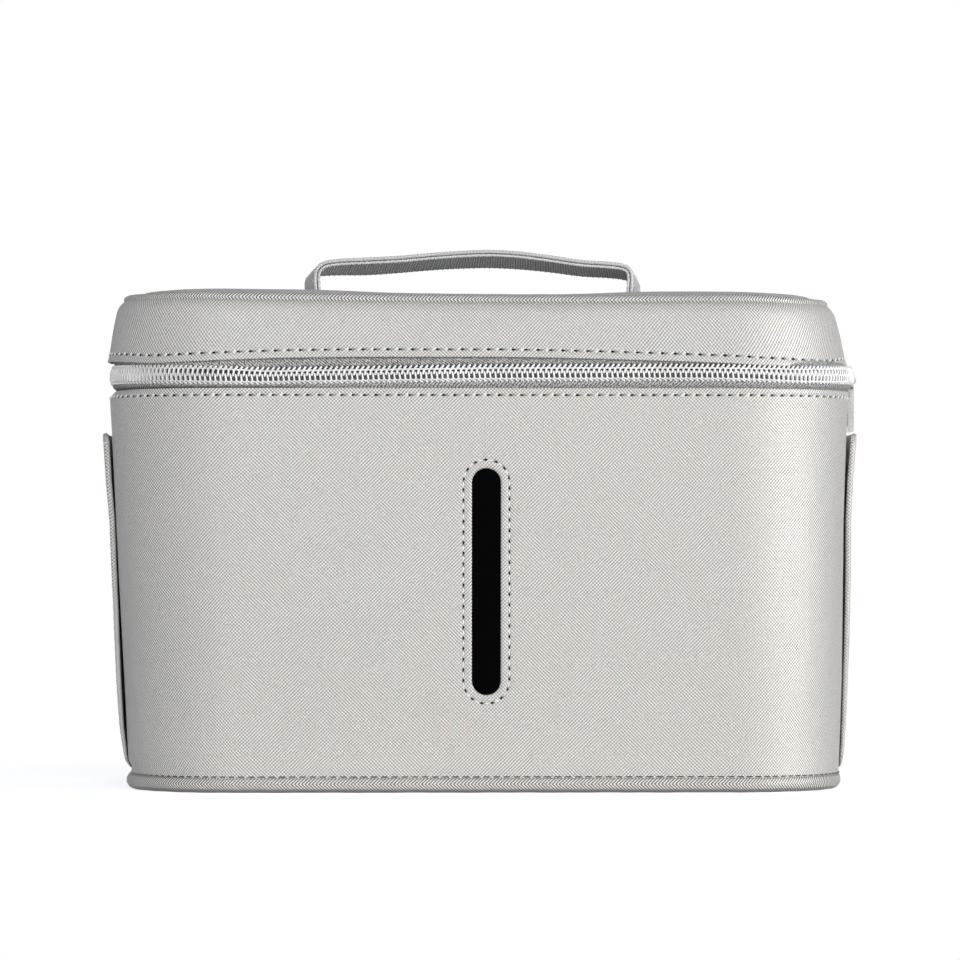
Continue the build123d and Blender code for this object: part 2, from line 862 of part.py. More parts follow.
parts = {
    "body_skin": body_skin(),
    "body_stiffener": body_stiffener(),
    "body_liner": body_liner(),
    "base_board": base_board(),
    "base_skin": base_skin(),
    "base_piping": base_piping(),
    "window_lens": window_lens(),
    "lid_magnet": lid_magnet(),
    "side_pocket_left": side_pocket(-1),
    "side_pocket_right": side_pocket(1),
    "zip_tape_lower": zip_tape_lower(),
    "zip_coil_lower": zip_coil_lower(),
    "zip_end_stops": zip_end_stops(),
    "hinge_tape": hinge_tape(),
    "zip_slider_front": zip_slider(slider_meet_y - slider_step),
    "zip_slider_rear": zip_slider(slider_meet_y + slider_step),
    "zip_puller_front": zip_puller(slider_meet_y - slider_step),
    "zip_puller_rear": zip_puller(slider_meet_y + slider_step),
    "zip_tape_upper": zip_tape_upper(),
    "zip_coil_upper": zip_coil_upper(),
    "lid_band_skin": lid_band_skin(),
    "lid_band_board": lid_band_board(),
    "lid_piping": lid_piping(),
    "lid_top_skin": lid_top_skin(),
    "lid_top_foam": lid_top_foam(),
    "lid_top_board": lid_top_board(),
    "handle_strap": handle_strap(),
    "handle_webbing": handle_webbing(),
    "handle_anchor_plates": handle_anchor_plates(),
    "handle_rivets": handle_rivets(),
    "lamp_tray": lamp_tray(),
    "tray_screws": tray_screws(),
    "led_board": led_board(),
    "led_board_screws": led_board_screws(),
    "uv_leds": uv_leds(),
    "battery_pad": battery_pad(),
    "battery_pack": battery_pack(),
    "ribbon_cable": ribbon_cable(),
    "lid_lining": lid_lining(),
    "reed_switch": reed_switch(),
    "control_plate": control_plate(),
    "power_button": power_button(),
    "switch_plunger": switch_plunger(),
    "switch_housing": switch_housing(),
    "status_light": status_light(),
    "charge_socket": charge_socket(),
    "control_board": control_board(),
    "board_screws": board_screws(),
}

for name, shape in parts.items():
    if isinstance(shape, list):
        shape = Compound(children=shape)
    export_step(shape, f"parts/{name}.step")
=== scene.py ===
# %% [markdown]
# # A zip-round leatherette case with a lamp in its lid
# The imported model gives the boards, the lamp module, the zip's sliders and every joint. This lesson
# dresses it: skins of grained leatherette, corded piping, a coil zip made of real turns, stitched
# seams, a strap handle and a silver lining. Everything is worked out in millimetres with numpy and
# becomes a mesh in metres at the very end, so the numbers read like those on a cutter's pattern.

# %% Load the frame
import math
import bpy
import bmesh
import numpy as np
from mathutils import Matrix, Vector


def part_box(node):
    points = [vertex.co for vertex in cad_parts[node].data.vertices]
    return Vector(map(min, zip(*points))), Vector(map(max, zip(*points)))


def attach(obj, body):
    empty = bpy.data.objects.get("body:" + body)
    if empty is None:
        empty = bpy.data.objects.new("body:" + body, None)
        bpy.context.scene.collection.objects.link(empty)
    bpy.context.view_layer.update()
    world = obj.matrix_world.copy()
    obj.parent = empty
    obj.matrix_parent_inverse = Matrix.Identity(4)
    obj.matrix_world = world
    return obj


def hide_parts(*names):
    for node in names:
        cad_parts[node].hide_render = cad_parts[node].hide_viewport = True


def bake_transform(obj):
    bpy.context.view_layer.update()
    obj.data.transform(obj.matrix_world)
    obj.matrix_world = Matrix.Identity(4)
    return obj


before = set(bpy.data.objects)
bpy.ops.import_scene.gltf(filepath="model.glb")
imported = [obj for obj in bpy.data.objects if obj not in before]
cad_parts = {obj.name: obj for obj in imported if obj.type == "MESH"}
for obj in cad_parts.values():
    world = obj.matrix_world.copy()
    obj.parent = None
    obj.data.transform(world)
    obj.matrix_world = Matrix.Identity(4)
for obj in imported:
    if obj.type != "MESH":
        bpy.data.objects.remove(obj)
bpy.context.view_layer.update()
MM = 0.001


def node_box(name):
    """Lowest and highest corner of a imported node, in millimetres."""
    low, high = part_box(name)
    return np.array(low) / MM, np.array(high) / MM


# %% [markdown]
# ## The camera comes first
# The picture was taken from far away with a long lens, a little left of the middle and just below
# the height of the window's centre. A long lens keeps the case's sides almost parallel. The
# focal length follows from the width of the picture at the case's front face.

# %% Camera
CAMERA_AT = (-37.0, -1838.5, 88.0)
PITCH_UP = 0.733
TURN_RIGHT = 1.136
LENS, SENSOR_WIDTH = 186.56, 36.0
NEAREST = 0.05

camera = bpy.data.objects.new("camera", bpy.data.cameras.new("camera"))
camera.data.lens = LENS
camera.data.sensor_width = SENSOR_WIDTH
camera.data.clip_start = NEAREST
camera.location = np.array(CAMERA_AT) * MM
camera.rotation_euler = (math.radians(90 + PITCH_UP), 0, math.radians(-TURN_RIGHT))
bpy.context.scene.collection.objects.link(camera)
bpy.context.scene.camera = camera
print("camera at", tuple(camera.location), "lens", LENS)

# %% [markdown]
# ## Light and ground
# A studio packshot: one wide soft box beside the camera gives the matt light. Two on the right, in
# the same place, give light and gloss each in its own strength, which leaves the left corner
# shaded. A cool, dim surround fills that shade, and a low soft box behind the case lights its back
# without reaching the front. The background is plain white for the camera, and for gloss, through
# the Light Path node, so no lamp has to be turned up to reach it.

# %% Lights, surround and floor
FRONT_AT, FRONT_SIZE, FRONT_WATTS = (-0.22, -2.05, 0.3), 1.5, 43.0
SIDE_AT, SIDE_SIZE, SIDE_WATTS = (1.68, -0.86, 0.2), 1.1, 22.0
GLINT_WATTS = 58.0
REAR_AT, REAR_SIZE, REAR_WATTS = (0.6, 2.0, 0.12), 1.1, 30.0
LAMPS_AIM = (0.0, 0.0, 0.10)
SURROUND = (0.18, 0.40, 0.95, 1.0)
SURROUND_STRENGTH = 0.085
FLOOR_HALF = 4.0
FLOOR_COLOUR = (0.86, 0.86, 0.86, 1.0)
FLOOR_GLOW = 0.74
FOOT_HALF = (0.128, 0.083, 10.0)
SHADOW_NEAR, SHADOW_FAR = 0.02, 0.11


def soft_box(name, place, size, watts, diffuse=True, gloss=True):
    """Square area lamp that faces the middle of the case, for matt light, for gloss or for both."""
    lamp = bpy.data.lights.new(name, "AREA")
    lamp.size, lamp.energy = size, watts
    holder = bpy.data.objects.new(name, lamp)
    holder.location = place
    aim = np.array(LAMPS_AIM) - np.array(place)
    holder.rotation_mode = "QUATERNION"
    holder.rotation_quaternion = Vector(aim).to_track_quat("-Z", "Y")
    holder.visible_diffuse, holder.visible_glossy = diffuse, gloss
    bpy.context.scene.collection.objects.link(holder)


soft_box("front_light", FRONT_AT, FRONT_SIZE, FRONT_WATTS, gloss=False)
soft_box("side_light", SIDE_AT, SIDE_SIZE, SIDE_WATTS)
soft_box("side_glint", SIDE_AT, SIDE_SIZE, GLINT_WATTS, diffuse=False)
soft_box("rear_light", REAR_AT, REAR_SIZE, REAR_WATTS, gloss=False)


def seen_directly(tree):
    """Socket that is 1 for rays from the camera, off gloss and through glass, and 0 for light."""
    path = tree.nodes.new("ShaderNodeLightPath")
    socket = path.outputs["Is Camera Ray"]
    for kind in ("Is Glossy Ray", "Is Transmission Ray"):
        either = tree.nodes.new("ShaderNodeMath")
        either.operation = "MAXIMUM"
        tree.links.new(socket, either.inputs[0])
        tree.links.new(path.outputs[kind], either.inputs[1])
        socket = either.outputs[0]
    return socket


def mix_shaders(tree, share, first, second):
    """Output of a Mix Shader node: the first shader where share is 0, the second where it is 1."""
    mix = tree.nodes.new("ShaderNodeMixShader")
    for source, socket in zip((share, first, second), mix.inputs):
        tree.links.new(source, socket)
    return mix.outputs[0]


def make_surround():
    """World: pure white where it is looked at, a dim cool blue as a source of light."""
    world = bpy.data.worlds.new("studio")
    world.use_nodes = True
    bpy.context.scene.world = world
    tree = world.node_tree
    light = tree.nodes["Background"]
    light.inputs["Color"].default_value = SURROUND
    light.inputs["Strength"].default_value = SURROUND_STRENGTH
    white = tree.nodes.new("ShaderNodeBackground")
    white.inputs["Color"].default_value = (1, 1, 1, 1)
    shown = mix_shaders(tree, seen_directly(tree), light.outputs[0], white.outputs[0])
    tree.links.new(shown, tree.nodes["World Output"].inputs["Surface"])


def away_from_case(tree):
    """Socket that rises from 0 by the case to 1 a hand's width off: length of max(|p| - half, 0)."""
    place = tree.nodes.new("ShaderNodeTexCoord").outputs["Object"]
    steps = (("ABSOLUTE", None), ("SUBTRACT", FOOT_HALF), ("MAXIMUM", (0, 0, 0)), ("LENGTH", None))
    for operation, other in steps:
        step = tree.nodes.new("ShaderNodeVectorMath")
        step.operation = operation
        tree.links.new(place, step.inputs[0])
        if other:
            step.inputs[1].default_value = other
        place = step.outputs["Value" if operation == "LENGTH" else "Vector"]
    ramp = tree.nodes.new("ShaderNodeMapRange")
    ramp.interpolation_type = "SMOOTHSTEP"
    ramp.inputs["From Min"].default_value = SHADOW_NEAR
    ramp.inputs["From Max"].default_value = SHADOW_FAR
    tree.links.new(place, ramp.inputs["Value"])
    return ramp.outputs["Result"]


def make_floor():
    """Wide pale floor: paper that glows up to white and keeps the shadow, then plain white."""
    material = bpy.data.materials.new("pale_floor")
    material.use_nodes = True
    tree = material.node_tree
    paper = tree.nodes["Principled BSDF"]
    paper.inputs["Base Color"].default_value = FLOOR_COLOUR
    paper.inputs["Roughness"].default_value = 0.9
    paper.inputs["Specular IOR Level"].default_value = 0.1
    glow = tree.nodes.new("ShaderNodeEmission")
    glow.inputs["Strength"].default_value = FLOOR_GLOW
    both = tree.nodes.new("ShaderNodeAddShader")
    plain_white = tree.nodes.new("ShaderNodeEmission")
    tree.links.new(paper.outputs[0], both.inputs[0])
    tree.links.new(glow.outputs[0], both.inputs[1])
    faded = mix_shaders(tree, away_from_case(tree), both.outputs[0], plain_white.outputs[0])
    shown = mix_shaders(tree, seen_directly(tree), paper.outputs[0], faded)
    tree.links.new(shown, tree.nodes["Material Output"].inputs["Surface"])
    mesh = bpy.data.meshes.new("floor")
    corners = [(x * FLOOR_HALF, y * FLOOR_HALF, 0) for x, y in ((-1, -1), (1, -1), (1, 1), (-1, 1))]
    mesh.from_pydata(corners, [], [(0, 1, 2, 3)])
    mesh.materials.append(material)
    floor = bpy.data.objects.new("floor", mesh)
    bpy.context.scene.collection.objects.link(floor)


make_surround()
make_floor()
bpy.context.scene.view_settings.view_transform = "Standard"
print("four lamps, a white surround and a pale floor")

# %% [markdown]
# ## Shader arithmetic in Python
# A finish is easier to read as a formula than as a heap of nodes. A small class wraps one socket
# and turns each operator into a Math node. Every other node comes from one method that takes the
# node's type, its settings and what goes into its sockets.

# %% Wires and finishes
class Wire:
    """One output socket that can be used in arithmetic."""

    def __init__(self, finish, socket):
        self.finish, self.socket = finish, socket

    def math(self, operation, *others):
        return self.finish.calculate(operation, self, *others)

    def __add__(self, other):
        return self.math("ADD", other)

    def __sub__(self, other):
        return self.math("SUBTRACT", other)

    def __rsub__(self, other):
        return self.finish.calculate("SUBTRACT", other, self)

    def __mul__(self, other):
        return self.math("MULTIPLY", other)

    def __truediv__(self, other):
        return self.math("DIVIDE", other)

    def __abs__(self):
        return self.math("ABSOLUTE")

    __radd__, __rmul__ = __add__, __mul__


class Finish:
    """One procedural material with its Principled shader."""

    def __init__(self, name, **constants):
        self.material = bpy.data.materials.new(name)
        self.material.use_nodes = True
        self.tree = self.material.node_tree
        self.shader = self.tree.nodes["Principled BSDF"]
        for socket, value in constants.items():
            self.shader.inputs[socket.replace("_", " ")].default_value = value

    def node(self, kind, settings=(), inputs=(), output=0):
        """Adds a node: settings first, then values or wires by socket. Gives one output's wire."""
        made = self.tree.nodes.new(kind)
        for key, value in dict(settings).items():
            setattr(made, key, value)
        for key, value in dict(inputs).items():
            self.feed(made.inputs[key], value)
        return Wire(self, made.outputs[output])

    def feed(self, socket, value):
        """Links a wire to a socket, or sets the socket's value."""
        if isinstance(value, Wire):
            self.tree.links.new(value.socket, socket)
        else:
            socket.default_value = value

    def calculate(self, operation, *values):
        """One Math node on values or wires."""
        return self.node("ShaderNodeMath", {"operation": operation}, dict(enumerate(values)))

    def to(self, **sockets):
        """Feeds the Principled shader."""
        for name, value in sockets.items():
            self.feed(self.shader.inputs[name.replace("_", " ")], value)
        return self

    def stretch(self, vector, by):
        """Multiplies a vector by another, axis by axis."""
        return self.node("ShaderNodeVectorMath", {"operation": "MULTIPLY"}, {0: vector, 1: by})

    def object_mm(self):
        """Object coordinates in millimetres."""
        place = self.node("ShaderNodeTexCoord", output="Object")
        scaled = {0: place, "Scale": 1 / MM}
        return self.node("ShaderNodeVectorMath", {"operation": "SCALE"}, scaled)

    def uv(self, name):
        """One of the piece's UV maps."""
        return self.node("ShaderNodeUVMap", {"uv_map": name})

    def split(self, vector):
        """The three parts of a vector."""
        parts = self.node("ShaderNodeSeparateXYZ", inputs={0: vector})
        outputs = parts.socket.node.outputs
        return [Wire(self, outputs[axis]) for axis in range(3)]

    def noise(self, vector, scale, detail=2.0):
        """Noise of 0 to 1; scale counts its cells in a millimetre."""
        inputs = {"Vector": vector, "Scale": scale, "Detail": detail}
        return self.node("ShaderNodeTexNoise", inputs=inputs, output="Fac")

    def ramp(self, value, low, high, to_low=0.0, to_high=1.0):
        """Smooth step of a value from one range to another."""
        names = ("Value", "From Min", "From Max", "To Min", "To Max")
        inputs = dict(zip(names, (value, low, high, to_low, to_high)))
        return self.node("ShaderNodeMapRange", {"interpolation_type": "SMOOTHSTEP"}, inputs)

    def wave(self, value, period):
        """Cosine with a period, from -1 to 1."""
        return (value * (2 * math.pi / period)).math("COSINE")

    def blend(self, share, first, second):
        """Mixes two colours."""
        return self.node("ShaderNodeMix", {"data_type": "RGBA"}, {0: share, 6: first, 7: second}, 2)

    def bump(self, height, depth_mm, strength=1.0):
        """Normal from a height of 0 to 1 that stands for a depth in millimetres."""
        inputs = {"Height": height, "Distance": depth_mm * MM, "Strength": strength}
        return self.node("ShaderNodeBump", inputs=inputs)


def tone(*levels):
    """Linear colour from sRGB levels of 0 to 255."""
    share = [v / 255 for v in levels]
    linear = [v / 12.92 if v <= 0.04045 else ((v + 0.055) / 1.055) ** 2.4 for v in share]
    return (*linear, 1.0)


print("shader helpers ready")

# %% [markdown]
# ## The outline that everything follows
# Seen from above the case is one rounded rectangle, and each board, skin, tape and cord runs round
# it at its own inset. Walking along it by arc length, the direction of the outward normal stands
# still on the straights and turns steadily on the corners, while the corner's centre does the
# opposite. Two linear interpolations therefore give the whole curve.

# %% Rounded outlines
class Outline:
    """Rounded rectangle walked counter-clockwise from the middle of its far side.

    Point = corner centre + (radius - inset) * (cos a, sin a), with the angle a constant on the
    straights and the centre constant on the corners.
    """

    def __init__(self, half_width, half_depth, radius):
        self.radius = radius
        x, y = half_width - radius, half_depth - radius
        turn = radius * math.pi / 2
        self.breaks = np.cumsum([0, x, turn, 2 * y, turn, 2 * x, turn, 2 * y, turn, x])
        self.angles = np.radians([90, 90, 180, 180, 270, 270, 360, 360, 450, 450])
        self.centre_x = [0, -x, -x, -x, -x, x, x, x, x, 0]
        self.centre_y = [y, y, y, -y, -y, -y, -y, y, y, y]
        self.length = self.breaks[-1]

    def stations(self, step, extra=()):
        """Arc lengths at most one step apart that hit every corner's ends and the extra marks."""
        marks = np.unique(np.concatenate([self.breaks, extra]))
        counts = np.maximum(1, np.ceil(np.diff(marks) / step - 1e-6).astype(int))
        runs = [a + (b - a) * np.arange(n) / n for a, b, n in zip(marks, marks[1:], counts)]
        return np.append(np.concatenate(runs), self.length)

    def turn(self, s):
        """Angle of the outward normal."""
        return np.interp(s, self.breaks, self.angles)

    def at(self, s, inset=0.0, share=1.0):
        """x and y of the outline drawn in by an inset and shrunk towards its centre by a share."""
        a = self.turn(s)
        reach = self.radius - inset
        x = share * (np.interp(s, self.breaks, self.centre_x) + reach * np.cos(a))
        y = share * (np.interp(s, self.breaks, self.centre_y) + reach * np.sin(a))
        return x, y

    def corner(self, s):
        """0 on the straights, 1 in the middle of each corner."""
        return np.sin(2 * self.turn(s)) ** 2


skin_low, skin_high = node_box("body_skin")
CORNER_R = 45.0
case = Outline(skin_high[0], skin_high[1], CORNER_R)
FRONT_S = (case.breaks[4] + case.breaks[5]) / 2
HINGE_HALF = node_box("hinge_tape")[1][0]
WALL_TOP = skin_high[2]
LID_BOTTOM = node_box("lid_band_skin")[0][2]
ZIP_MID = (WALL_TOP + LID_BOTTOM) / 2
COIL_H = 2.75


def ring(s, inset, z, share=1.0):
    """Points round the case: rows come from inset, z and share, columns from the arc length s."""
    x, y = case.at(s, inset, share)
    return np.stack(np.broadcast_arrays(x, y, z), -1)


def column(values):
    """Values as a column, one for each row of a grid."""
    return np.asarray(values, float)[:, None]


def rise(value, low, high):
    """Smooth step from 0 at low to 1 at high, whichever way they lie."""
    t = np.clip((value - low) / (high - low), 0, 1)
    return t * t * (3 - 2 * t)


def inward(x, y):
    """How far a place lies inside the case's outline."""
    q = np.stack([np.abs(x) - (skin_high[0] - CORNER_R), np.abs(y) - (skin_high[1] - CORNER_R)])
    return CORNER_R - np.hypot(*np.maximum(q, 0)) - np.minimum(q.max(0), 0)


def off_rear(y):
    """1 over the front and most of the sides, falling to 0 at the rear, where the hinge is."""
    return rise(y, 80, 30)


LEAN_HEIGHTS = [4, 37, 52, 67, 82, 96, 111, 131, 139, 143]
RIGHT_LEAN = [0, 0.1, 0.4, 0.8, 1.2, 1.7, 1.9, 2.1, 1.7, 2.1]
LEFT_LEAN, FOOT_SPREAD, SHOULDER_TUCK = 1.4, 1.5, 2.0
LEFT_SHIFT = 2.6
SHIFT_HEIGHTS, RIGHT_SHIFT = [154, 160, 168, 174], [2.0, 2.4, 2.9, 3.1]


def lean_body(points):
    """The soft body leans a little to the left with its height; window and rear stand still.

    On the left x -= lean * height^1.3 - spread at the foot - tuck at the top corner; on the right
    the lean is read from a table of heights.
    """
    x, y, z = points[..., 0], points[..., 1], points[..., 2]
    spread = FOOT_SPREAD * np.exp(-((z - 7) / 2.2) ** 2) * rise(x, -100, -120)
    tuck = SHOULDER_TUCK * rise(z, 140, 142.8) * rise(x, -115, -130)
    left = LEFT_LEAN * np.clip((z - 4) / 138, 0, 1) ** 1.3 - spread - tuck
    right = np.interp(z, LEAN_HEIGHTS, RIGHT_LEAN)
    moved = points.copy()
    moved[..., 0] -= np.where(x < 0, left, right) * rise(np.abs(x), 20, 110) * off_rear(y)
    return moved


def shift_lid(points):
    """The lid's rim sits to the left of the body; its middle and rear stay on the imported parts."""
    x, y, z = points[..., 0], points[..., 1], points[..., 2]
    most = np.where(x < 0, LEFT_SHIFT, np.interp(z, SHIFT_HEIGHTS, RIGHT_SHIFT))
    moved = points.copy()
    moved[..., 0] -= most * rise(inward(x, y), 22, 11) * off_rear(y)
    return moved


print("outline", round(case.length, 1), "mm round, front middle at", round(FRONT_S, 1))

# %% [markdown]
# ## From grids to meshes
# Every new piece is one or more grids of points. A grid's rows and columns give the quads at once,
# and its two UV maps ride along: `weave` holds millimetres on the surface for the grain, and `seam`
# holds the count of stitches along the nearest seam and the distance from it. Columns run
# counter-clockwise and rows upwards on an outer face, which makes its quads face outwards.

# %% Mesh building
FAR = 50.0
WELD = 0.002


def grid(points, weave=None, seam=None, skip=None):
    """One patch of quads. points ends in (rows, columns, 3); skip marks cells that stay open."""
    shape = points.shape[:-1]
    if weave is None:
        weave = np.stack(np.broadcast_arrays(points[..., 0], points[..., 1]), -1)
    if seam is None:
        seam = np.full(shape + (2,), FAR)
    weave, seam = (np.broadcast_to(uv, shape + (2,)) for uv in (weave, seam))
    return {"points": points, "weave": weave, "seam": seam, "skip": skip}


def surface_uv(u, v, points):
    """UV pairs for every one of the points, from values that only have to fit their grid."""
    return np.stack(np.broadcast_arrays(u, v, points[..., 0])[:2], -1)


def stitch_count(length, pitch):
    """Whole stitches in a length: length / pitch, rounded."""
    return int(round(length / pitch))


def seam_uv(along, length, pitch, off, points):
    """Seam map: stitches counted along the seam, and the distance from it."""
    return surface_uv(along / length * stitch_count(length, pitch), off, points)


def between(values):
    """Middles of neighbouring values."""
    return (values[1:] + values[:-1]) / 2


def end_caps(points, rows):
    """Quads over a strip's two cut ends; its first rows are the outer face, then the inner."""
    return [grid(np.stack([points[:rows, end], points[rows:2 * rows, end][::-1]], 1)[:, ::order])
            for end, order in ((0, -1), (-1, 1))]


def stand(name, mesh, finish, body, replaces, sharp=None):
    """Welds a mesh, gives it its finish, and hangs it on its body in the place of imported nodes."""
    shell = bmesh.new()
    shell.from_mesh(mesh)
    bmesh.ops.remove_doubles(shell, verts=shell.verts, dist=WELD * MM)
    shell.to_mesh(mesh)
    shell.free()
    if sharp:
        mesh.polygons.foreach_set("use_smooth", np.ones(len(mesh.polygons), bool))
        mesh.set_sharp_from_angle(angle=math.radians(sharp))
    mesh.materials.clear()
    mesh.materials.append(finish.material)
    piece = bpy.data.objects.new(name, mesh)
    bpy.context.scene.collection.objects.link(piece)
    if body:
        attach(piece, body)
    if replaces:
        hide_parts(*replaces)
    print(f"{name}: {len(mesh.polygons)} faces")
    return piece


def build(name, patches, finish, body, replaces=(), sharp=40):
    """Joins patches into one smooth mesh in metres; edges sharper than an angle stay sharp."""
    points, quads, weave, seam, start = [], [], [], [], 0
    for patch in patches:
        rows, columns = patch["points"].shape[-3:-1]
        index = start + np.arange(patch["points"].size // 3).reshape(-1, rows, columns)
        cells = [index[:, :-1, :-1], index[:, :-1, 1:], index[:, 1:, 1:], index[:, 1:, :-1]]
        cells = np.stack(cells, -1)
        if patch["skip"] is not None:
            cells = cells[:, ~patch["skip"]]
        quads.append(cells.reshape(-1, 4))
        points.append(patch["points"].reshape(-1, 3))
        weave.append(patch["weave"].reshape(-1, 2))
        seam.append(patch["seam"].reshape(-1, 2))
        start += index.size
    points, quads = np.concatenate(points), np.concatenate(quads)
    mesh = bpy.data.meshes.new(name)
    mesh.from_pydata((points * MM).tolist(), [], quads.tolist())
    for label, values in (("weave", np.concatenate(weave)), ("seam", np.concatenate(seam))):
        layer = mesh.uv_layers.new(name=label)
        layer.data.foreach_set("uv", values[quads.ravel()].astype(np.float32).ravel())
    return stand(name, mesh, finish, body, replaces, sharp)


def unit(vectors):
    """Vectors divided by their lengths."""
    return vectors / np.maximum(np.linalg.norm(vectors, axis=-1, keepdims=True), 1e-9)


def moved_copy(name, node, mover, finish, body):
    """A packed board with every point moved by a mover, as a new piece in the node's place."""
    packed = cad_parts[node]
    mesh = packed.data.copy()
    mesh.name = name
    mesh.transform(packed.matrix_world)
    places = np.empty(len(mesh.vertices) * 3)
    mesh.vertices.foreach_get("co", places)
    mesh.vertices.foreach_set("co", (mover(places.reshape(-1, 3) / MM) * MM).ravel())
    stand(name, mesh, finish, body, [node])


def tubes(centre, up, radius, sides=6):
    """Round threads along paths: point = centre + radius * (cos f * up + sin f * (tangent x up)).

    centre and up are (..., steps, 3), radius is a number or one value a step; a radius of 0 at
    both ends closes the thread.
    """
    tangent = unit(np.gradient(centre, axis=-2))
    up = unit(up - (up * tangent).sum(-1, keepdims=True) * tangent)
    across = np.cross(tangent, up)
    f = np.linspace(0, 2 * np.pi, sides + 1)
    radius = np.broadcast_to(radius, centre.shape[:-1])[..., None, None]
    turn = np.cos(f)[:, None] * up[..., None, :] + np.sin(f)[:, None] * across[..., None, :]
    return centre[..., None, :] + radius * turn


def waves(u, v, size):
    """Gentle unevenness in millimetres of hand-wrapped leatherette: a sum of crossing sines."""
    broad = np.sin(u / 23 + 1.3) * np.cos(v / 31 + 0.4)
    return size * (broad + 0.6 * np.sin(u / 11 - v / 17 + 2.0)) / 1.6


print("mesh helpers ready")

# %% [markdown]
# ## Grained leatherette
# The cover is a metallic champagne-grey leatherette with a pressed cross-hatch, the grain that
# wallets often have. Seen from the camera two metres away, the hatch lines are hardly two pixels
# apart, so a bump alone would drown in noise. The lines therefore carry a little of the colour as
# well as the relief: their grooves take a darker tone, which is painted shade. Two cosines of
# (u + v) and (u - v) are the two families of lines, slow noise lets one or the other lead, and fine
# noise breaks them up. Each needle hole of a seam is painted dark as shade, and so is the dash of
# shade in the groove behind it; the `seam` map draws them, so they stay sharp however coarse the
# mesh is.

# %% Leatherette
GRAIN_PITCH = 0.88
LEATHER_LIGHT = tone(236, 233, 226)
LEATHER_DARK = tone(150, 148, 144)
HOLE_SHADE = tone(20, 19, 19)
STITCH_LENGTH, HOLE_AT = 3.9, 0.14
HOLE_LONG, HOLE_WIDE = 0.46, 0.16
METAL_SHARE = 0.08


def leatherette(name, lead=0.5, mirrored=False, light=LEATHER_LIGHT, dark=LEATHER_DARK):
    """Cross-hatched leatherette; lead is the share of the rising lines, mirrored folds the grain and
    paints shade in the creases along the cord's flanks.

    Painted hole shade: along^2 / long + off^2 / wide below a limit that noise makes uneven, with the
    place along the stitch and off the seam in millimetres.
    """
    finish = Finish(name, IOR=1.45, Specular_IOR_Level=0.15)
    u, v, _ = finish.split(finish.uv("weave"))
    if mirrored:
        v = abs(v)
    place = finish.object_mm()
    shift = (finish.noise(place, 0.5) - 0.5) * 0.3
    drift = finish.noise(place, 0.045, 3.0)
    period = GRAIN_PITCH * math.sqrt(2)
    rising = finish.wave(u - v + shift, period)
    falling = finish.wave(u + v - shift, period)
    share = finish.ramp(drift, 0.35, 0.65, lead - 0.16, lead + 0.16)
    hatch = (rising * share + falling * (1 - share)) * 0.5 + 0.5
    pearl = finish.noise(place, 2.3, 1.0)
    grain = finish.ramp(hatch * 0.62 + pearl * 0.38, 0.28, 0.72)
    # Painted shade: a dark oval at each needle hole and a fading dash of shade in the groove behind
    # it.
    count, off, _ = finish.split(finish.uv("seam"))
    along = (count.math("FRACT") - HOLE_AT) * STITCH_LENGTH
    uneven = finish.noise(place, 0.23, 1.0) * 1.2 + 0.45
    reach = ((along * along) / HOLE_LONG + (off * off) / HOLE_WIDE) * uneven
    hole = 1 - finish.ramp(reach, 0.55, 1.25)
    tail = finish.ramp(along, -0.2, 0.3) * (1 - finish.ramp(along, 0.6, 2.6))
    shade = (1 - finish.ramp(abs(off), 0.15, 0.6)) * tail * 0.62
    # Painted shade: where the hatch dips, the cover takes the dark tone.
    cover = finish.blend(grain, dark, light)
    if mirrored:
        # Painted shade in the creases along both flanks of the cord.
        cover = finish.blend(finish.ramp(v, 1.5, 2.5) * 0.6, cover, dark)
    # The painted shade of the holes and groove dashes goes into the colour here.
    stitched = finish.blend(hole.math("MAXIMUM", shade), cover, HOLE_SHADE)
    relief = finish.bump(grain - hole * 2, 0.045, 0.8)
    metal = (1 - hole) * METAL_SHARE
    gloss = 0.56 - grain * 0.1
    return finish.to(Base_Color=stitched, Roughness=gloss, Metallic=metal, Normal=relief)


LEATHER = leatherette("grained_leatherette")
# The piping's mirrored grain also paints shade on the cord's flanks.
PIPING_LEATHER = leatherette("piping_leatherette", lead=0.85, mirrored=True, dark=tone(96, 94, 91))
STRAP_LEATHER = leatherette("strap_leatherette", light=tone(216, 215, 212),
                            dark=tone(196, 195, 192))
print("leatherette with a hatch every", GRAIN_PITCH, "mm")

# %% [markdown]
# ## Woven, plated and moulded finishes
# Each of the other materials is one short formula of the same kind: a twill for the zip tape, ribs
# for the grosgrain, crinkles for the silvered lining, fine grain for moulded and plated parts.

# %% Woven and soft finishes
def thread_finish():
    """Silver-grey sewing thread; its twist winds round the thread's own length."""
    finish = Finish("sewing_thread", Roughness=0.6, IOR=1.45)
    u, v, _ = finish.split(finish.uv("weave"))
    twist = finish.wave(u + v * 0.5, 0.5) * 0.5 + 0.5
    colour = finish.blend(twist, tone(230, 229, 225), tone(255, 255, 251))
    return finish.to(Base_Color=colour, Normal=finish.bump(twist, 0.05))


DEEP_SHADE = tone(24, 24, 24)


